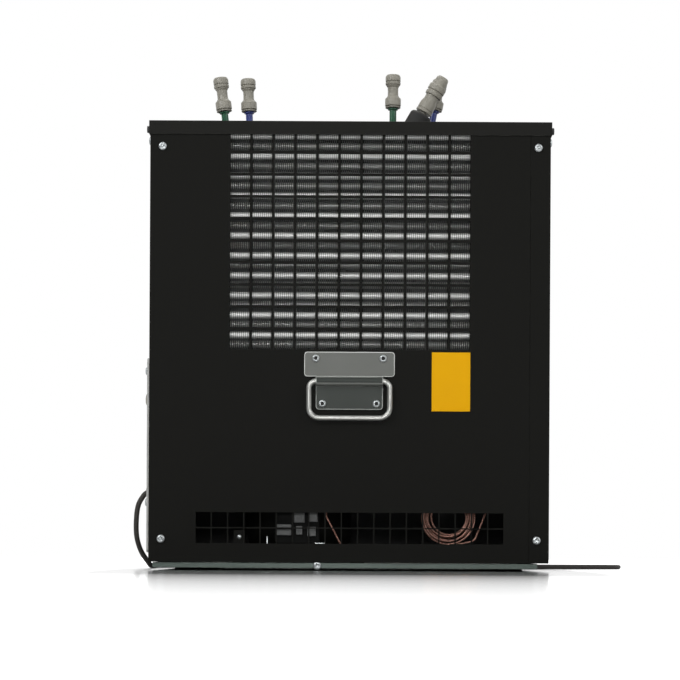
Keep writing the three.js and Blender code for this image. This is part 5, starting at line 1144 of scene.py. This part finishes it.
def turned_parts(profile, sides=48, flats=0, flat_rows=()):
    verts, faces = [], []
    for row, (radius, height) in enumerate(profile):
        for k in range(sides):
            angle = 2 * math.pi * k / sides
            reach = radius
            if flats and row in flat_rows:
                wedge = 2 * math.pi / flats
                off = (angle + wedge / 2) % wedge - wedge / 2
                across = radius * math.cos(math.pi / flats) * 1.04
                reach = min(radius, across / math.cos(off))
            verts.append(Vector((reach * math.cos(angle), reach * math.sin(angle), height)))
    for row in range(len(profile) - 1):
        for k in range(sides):
            a, b = row * sides + k, row * sides + (k + 1) % sides
            faces.append((a, b, b + sides, a + sides))
    faces.append(tuple(reversed(range(sides))))
    last = (len(profile) - 1) * sides
    faces.append(tuple(last + k for k in range(sides)))
    return verts, faces


def turned(name, profile, place, turn=None, **shape):
    verts, faces = turned_parts(profile, **shape)
    move = Matrix.Translation(Vector(place) * MM) @ (turn or Matrix.Identity(4))
    return outward(new_piece(name, [move @ (v * MM) for v in verts], faces))


def joined(name, pieces):
    work = bmesh.new()
    for piece in pieces:
        work.from_mesh(piece.data)
        bpy.data.objects.remove(piece)
    return from_work(name, work)


# %% [markdown]
# A push-fit fitting has a nut with shallow flats at its foot, a smooth waist, and a rounded
# collar with two grooves. A small coloured collet shows under the nut, where the tube goes in.
# The chilled water line has a wider fitting of the same make, with a stepped cap.
# %% Push-fit fittings
FITTING_LENGTHS = (46.5, 44.8, 45.3, 43)
FITTING_COLLAR = 10.3
FITTING_NUT = 10.8
FITTING_WAIST = 7.3
WIDE_LENGTH = 55
MOUTH_RADIUS = 4.4
MOUTH_DEPTH = 18
NUT_ROWS = (6, 7)


def fitting_profile(length, collar, nut, waist):
    def at(share):
        return share * length

    groove = collar * 0.86
    return [
        (5.2, 0.2), (nut - 1.2, 0), (nut - 0.4, 0.5), (nut - 0.4, at(0.032)),
        (nut - 2.2, at(0.038)), (nut - 2.2, at(0.058)), (nut, at(0.072)), (nut, at(0.27)),
        (nut - 0.6, at(0.295)), (waist + 1.2, at(0.33)),
        (waist, at(0.38)), (waist * 0.97, at(0.5)), (waist, at(0.62)), (groove, at(0.67)),
        (groove, at(0.685)), (collar - 0.2, at(0.705)), (collar, at(0.72)),
        (collar, at(0.775)), (groove + 0.2, at(0.787)), (groove + 0.2, at(0.803)),
        (collar, at(0.815)), (collar, at(0.93)), (collar * 0.94, at(0.97)),
        (collar * 0.82, at(1.0)), (MOUTH_RADIUS + 1.4, at(1.0)), (MOUTH_RADIUS, at(0.975)),
        (MOUTH_RADIUS, at(1.0) - MOUTH_DEPTH),
    ]


def wide_profile(length):
    shares = [
        (5.2, 0.004), (10.2, 0), (11.3, 0.015), (11.3, 0.06), (10.5, 0.07), (10.5, 0.085),
        (11.1, 0.1), (11.1, 0.24), (9.5, 0.34), (9.4, 0.435), (9.4, 0.46), (11.4, 0.475),
        (11.7, 0.49), (11.7, 0.555), (10.7, 0.57), (10.7, 0.59), (12.1, 0.61), (12.1, 0.73),
        (11.5, 0.75), (8.9, 0.76), (8.9, 0.92), (8.4, 0.97), (7.2, 1.0),
        (MOUTH_RADIUS + 1.4, 1.0), (MOUTH_RADIUS, 0.975), (MOUTH_RADIUS, 0.6),
    ]
    return [(radius, share * length) for radius, share in shares]


def fitting(name, spec, profile, replaces):
    turn = Matrix.Rotation(math.radians(spec["lean"]), 4, "Y")
    place = (spec["x"], spec["y"], spec["z"])
    body = turned(name, profile, place, turn, sides=64, flats=12, flat_rows=NUT_ROWS)
    hand_over(body, "grey_plastic", replaces=(replaces,), angle=28)
    return turn, place


for i, spec in enumerate(CONNECTORS):
    profile = fitting_profile(FITTING_LENGTHS[i], FITTING_COLLAR, FITTING_NUT, FITTING_WAIST)
    turn, place = fitting(f"push_fitting_{i + 1}", spec, profile, f"connector_{i + 1}")
    collet = turned(f"collet_{i + 1}", [
        (4.9, -2.6), (6.4, -2.6), (6.9, -1.9), (6.9, -0.4), (5.6, 0.1),
    ], place, turn, sides=32)
    hand_over(collet, spec["slot"])
fitting("python_fitting", PYTHON, wide_profile(WIDE_LENGTH), "python_connector")

# %% [markdown]
# The water line to the taps is lagged with a soft black foam sleeve. It is a thick tube that
# bends with its line, and its cut end is rounded off where the nut squeezes it.
# %% Foam sleeve
SLEEVE_RADIUS = 15.7
tube("foam_sleeve", [
    (sleeve_x, PYTHON["y"], 505), water_bend, leaning(PYTHON, -2.6),
], 2 * SLEEVE_RADIUS, 40, "black_rubber", ("python_sleeve",), sides=40, bend_steps=14, rim=5.0)

# %% [markdown]
# The drop handle hangs in the rolled bead of its plate. The bail is one bent wire. It is drawn
# through its real corners, with a wide bend at the bottom and a tight one at the bead.
# %% Drop handle bails
BAIL_WIRE = 7
BAIL_AXIS = (243.8, 236.3)
BAIL_HALF = 50.5
BAIL_FOOT_Z = 190.5


def bail_route(side):
    y, z = side * BAIL_AXIS[0], BAIL_AXIS[1]
    top = rounded_corners([(-12, y, z), (-BAIL_HALF, y, z), (-BAIL_HALF, y, 216)], 9, 10)
    low = rounded_corners([
        (-BAIL_HALF, y, 216), (-BAIL_HALF, y, BAIL_FOOT_Z), (0, y, BAIL_FOOT_Z)], 13, 12)
    left = [*top, *low[1:]]
    return [*left, *[(-x, py, pz) for x, py, pz in reversed(left[:-1])]]


for word, side in (("rear", -1), ("front", 1)):
    tube(f"{word}_bail_wire", bail_route(side), BAIL_WIRE, 0, "bright_steel",
         (f"{word}_handle_bail",), f"{word}_bail", sides=32)

# %% [markdown]
# Screws repeat all over the cabinet. Each kind of head is made once at the origin: a pan head
# with a cross recess, a button head with a round socket, a tall head and a rivet. The faces
# inside a recess are marked in the same attribute as the bends, and the zinc finish is near
# black there: painted shade for the depth of the recess. A geometry nodes tree sets a head on
# every point of a mesh and turns it to face the way that the point's own `facing` attribute
# says.
# %% Screw tree
screw_tree, given, result = geometry_tree("heads_on_points", [
    ("Head", "NodeSocketObject", None), ("Finish", "NodeSocketMaterial", None),
])
head_shape = node(screw_tree, "GeometryNodeObjectInfo", {"Object": given.outputs["Head"]})
way = node(screw_tree, "GeometryNodeInputNamedAttribute", {"Name": "facing"},
           data_type="FLOAT_VECTOR")
spin = node(screw_tree, "GeometryNodeInputNamedAttribute", {"Name": "spin"},
            data_type="FLOAT_VECTOR")
spun = node(screw_tree, "FunctionNodeEulerToRotation", {0: spin.outputs[0]})
aimed = node(screw_tree, "FunctionNodeAlignRotationToVector", {
    "Vector": way.outputs[0],
}, axis="Z")
both = node(screw_tree, "FunctionNodeRotateRotation", {
    0: aimed.outputs[0], 1: spun.outputs[0],
}, rotation_space="LOCAL")
heads = node(screw_tree, "GeometryNodeInstanceOnPoints", {
    "Points": given.outputs["Geometry"], "Instance": head_shape.outputs["Geometry"],
    "Rotation": both.outputs[0],
})
finish_tree(screw_tree, given, result, heads.outputs[0])


def carved(blank, tools):
    for tool in tools:
        cutter = blank.modifiers.new("cut", "BOOLEAN")
        cutter.object = tool
        cutter.operation = "DIFFERENCE"
        cutter.solver = "EXACT"
    made_plain(blank)
    for tool in tools:
        bpy.data.objects.remove(tool)


def cross_slots():
    slots = [boxes(f"slot_{i}", [((-2.7, 2.7), (-0.6, 0.6), (0.9, 4))], 0.05, 1)
             for i in range(2)]
    slots[1].data.transform(Matrix.Rotation(math.pi / 2, 4, "Z"))
    return slots


# Each kind of head: its profile, its sides, and the reach and painted shade of its recess.
HEAD_KINDS = {
    "pan": ([
        (2.2, -4), (2.2, 0), (5.1, 0.02), (5.1, 0.7), (4.9, 1.3), (4.4, 1.9), (3.6, 2.3),
        (3.0, 2.42), (2.6, 2.3), (2.3, 1.7), (0.4, 1.6)], 32, 2.75, 0.5),
    "button": ([
        (2.2, -4), (2.2, 0), (4.7, 0.02), (4.7, 0.5), (4.4, 1.3), (3.8, 2.0), (3.1, 2.37),
        (2.5, 2.4), (2.2, 2.2), (2.1, -1.2), (0.3, -1.3)], 32, 2.35, 1.0),
    "tall": ([
        (2.2, -4), (2.2, 0), (4.4, 0.02), (4.4, 3.0), (4.0, 3.5), (2.0, 3.7), (1.8, 2.4),
        (0.3, 2.3)], 32, 1.9, 1.0),
    "rivet": ([
        (1.2, -3), (1.2, 0), (2.7, 0.02), (2.6, 0.6), (2.0, 1.2), (1.0, 1.5),
        (0.2, 1.55)], 24, 0, 0.0),
}
RECESS_TOP_Z = 2.36
HEADS = {}
for kind, (profile, sides, reach, recess_shade) in HEAD_KINDS.items():
    head = HEADS[kind] = turned(f"{kind}_head", profile, (0, 0, 0), sides=sides)
    if kind == "pan":
        carved(head, cross_slots())
    head.data.attributes.new("rub_and_painted_light", "FLOAT", "FACE").data.foreach_set("value", [
        recess_shade * (math.hypot(*face.center[:2]) < reach * MM
                    and face.center.z < RECESS_TOP_Z * MM)
        for face in head.data.polygons])
    smoothed(head.data)
    head.hide_render = True


def screws(name, head, places, slot="zinc", replaces=()):
    piece = new_piece(name, [Vector(spot) * MM for spot, _ in places], [])
    mesh = piece.data
    facing = mesh.attributes.new("facing", "FLOAT_VECTOR", "POINT")
    turned_by = mesh.attributes.new("spin", "FLOAT_VECTOR", "POINT")
    for i, (_, way) in enumerate(places):
        facing.data[i].vector = way
        turned_by.data[i].vector = (0, 0, 0.4 + 1.3 * i)
    grow(piece, screw_tree, {"Head": HEADS[head], "Finish": MATERIALS[slot]})
    hand_over(piece, slot, replaces=replaces)


# %% [markdown]
# The screws in the photograph: four in the corners of the rear panel, four in each handle
# plate, tall dark ones in the lid's skirt, and single ones in the sides, the control cover,
# the earth tab and the flange of the tray.
# %% Screws in place
REAR, FRONT, LEFT, RIGHT = (0, -1, 0), (0, 1, 0), (-1, 0, 0), (1, 0, 0)
corner_places = [((x, -240.3, z), REAR) for x in (-234.5, 234.5) for z in (39, 529)]
screws("corner_screws", "pan", corner_places,
       replaces=[f"panel_screw_{i}" for i in range(1, 5)])
handle_spots = [(-42, 265), (42, 265), (-33.7, 208.5), (33.7, 208.5)]
screws("rear_handle_screws", "button", [((x, -242.6, z), REAR) for x, z in handle_spots],
       replaces=[f"handle_screw_{i}" for i in range(1, 5)])
screws("front_handle_screws", "button", [((x, 242.3, z), FRONT) for x, z in handle_spots])
BOTH_SIDES = ((-1, LEFT), (1, RIGHT))
screws("lid_screws", "tall", [((side * 251.5, y, 552), out)
                              for side, out in BOTH_SIDES for y in (-228, 228)],
       slot="black_plastic")
screws("side_screws", "pan", [((side * 249.8, y, 537), out)
                              for side, out in BOTH_SIDES for y in (-230, 230)])
screws("tray_screws", "pan", [((-39, -238.0, 6.2), REAR), ((120, 238.0, 6.2), FRONT)])
screws("earth_screw", "rivet", [((-137, -229, 42), REAR)])
screws("cover_screws", "pan", [((-254.0, y, z), LEFT) for y, z in (
    (-217, 85), (-36, 85), (-217, 250), (-36, 250))])

# %% [markdown]
# Behind the vent stands the compressor: a welded black steel pot on a bracket with rubber
# studs. Its seam and its domed crown are turned, and the bracket is plain folded strip.
# %% Compressor
POT_X, POT_Y = -65, -128
stud_spots = [(POT_X + sx * 76, POT_Y + sy * 49) for sx in (-1, 1) for sy in (-1, 1)]
pot = turned("pot", [
    (46, 24), (56, 27), (64, 36), (68, 50), (68, 116), (70, 117.4), (72, 118.4), (72, 121.4),
    (70, 122.4), (68, 124), (68, 158), (65, 170), (57, 180), (44, 186.5), (25, 189.6),
    (2, 190),
], (POT_X, POT_Y, 0), sides=72)
bracket = boxes("bracket", [((-150, 20), (-186, -70), (21, 27))], 1.0, 2)
studs = [
    turned("stud", [(9, 4.9), (9, 10), (7.5, 11.5), (7.5, 13), (9, 14.5), (9, 21)],
           (x, y, 0), sides=32)
    for x, y in stud_spots
]
hand_over(joined("compressor_pot", [pot, bracket]), "black_coat", replaces=("compressor",))
hand_over(joined("rubber_studs", studs), "black_rubber")
screws("stud_screws", "pan", [((x, y, 27), (0, 0, 1)) for x, y in stud_spots])

# %% [markdown]
# The strain relief keeps the lead from kinking where it leaves the side: a hexagon nut against
# the panel and a ribbed, drooping boot that tapers to the lead.
# %% Strain relief and plug
boot_turn = (Matrix.Rotation(-math.pi / 2, 4, "Y")
             @ Matrix.Translation(Vector((0, 0, NUT_HEIGHT / 2 * MM)))
             @ Matrix.Rotation(-BOOT_DROOP, 4, "Y"))
rib_profile = [(5.0, 0)]
for rib in range(6):
    foot = 2 + rib * 3.8
    radius = 7.0 - rib * 0.3
    rib_profile += [(radius - 0.9, foot), (radius, foot + 0.5),
                    (radius, foot + 2.2), (radius - 0.9, foot + 2.7)]
rib_profile += [(5.0, 25.2), (4.4, 26.0), (3.6, 26.0)]
boot = turned("boot", rib_profile, GLAND_PLACE, boot_turn, sides=32)
lock_nut = turned("lock_nut", [
    (7, -8), (7, 0.2), (10.2, 0.3), (11, 1.0), (11, 5.4), (10.2, 6.3), (6, 6.3),
], GLAND_PLACE, Matrix.Rotation(-math.pi / 2, 4, "Y"), sides=48, flats=6, flat_rows=(3, 4))
hand_over(joined("strain_relief", [boot, lock_nut]), "black_plastic",
          replaces=("cord_gland",))

plug_turn = Matrix.Rotation(PLUG_TURN, 4, "Z") @ Matrix.Rotation(math.pi / 2, 4, "Y")
plug_body = turned("plug_body", [
    (3.6, 0.4), (5.4, 0.4), (5.6, 4), (5.0, 5), (5.7, 6), (6.0, 9), (5.3, 10), (6.1, 11),
    (6.4, 15), (5.7, 16), (6.6, 17), (7.4, 22), (12.0, 28.5), (16.6, 35), (17.9, 40),
    (18, 43), (18, 62.6), (17.2, 63.8), (15.5, 64), (2, 64),
], PLUG_MOUTH, plug_turn, sides=48)
plug_pins = [
    turned("pin", [(2.4, 60), (2.4, 82), (1.6, 83), (0.4, 83)],
           Vector(PLUG_MOUTH) + Matrix.Rotation(PLUG_TURN, 3, "Z") @ Vector((0, side * 9.5, 0)),
           plug_turn, sides=20)
    for side in (-1, 1)
]
plug_piece = hand_over(plug_body, "black_plastic", replaces=("plug",))
plug_body.name = "two_pin_plug"
pins = hand_over(joined("plug_pins", plug_pins), "zinc")

hand_over(mains_lead, "cord_rubber", replaces=("cord", "cord_coil"))

# %% [markdown]
# Last, the head shapes that served the screws as templates are removed.
# %% Removing the head templates
for head in HEADS.values():
    bpy.data.objects.remove(head)
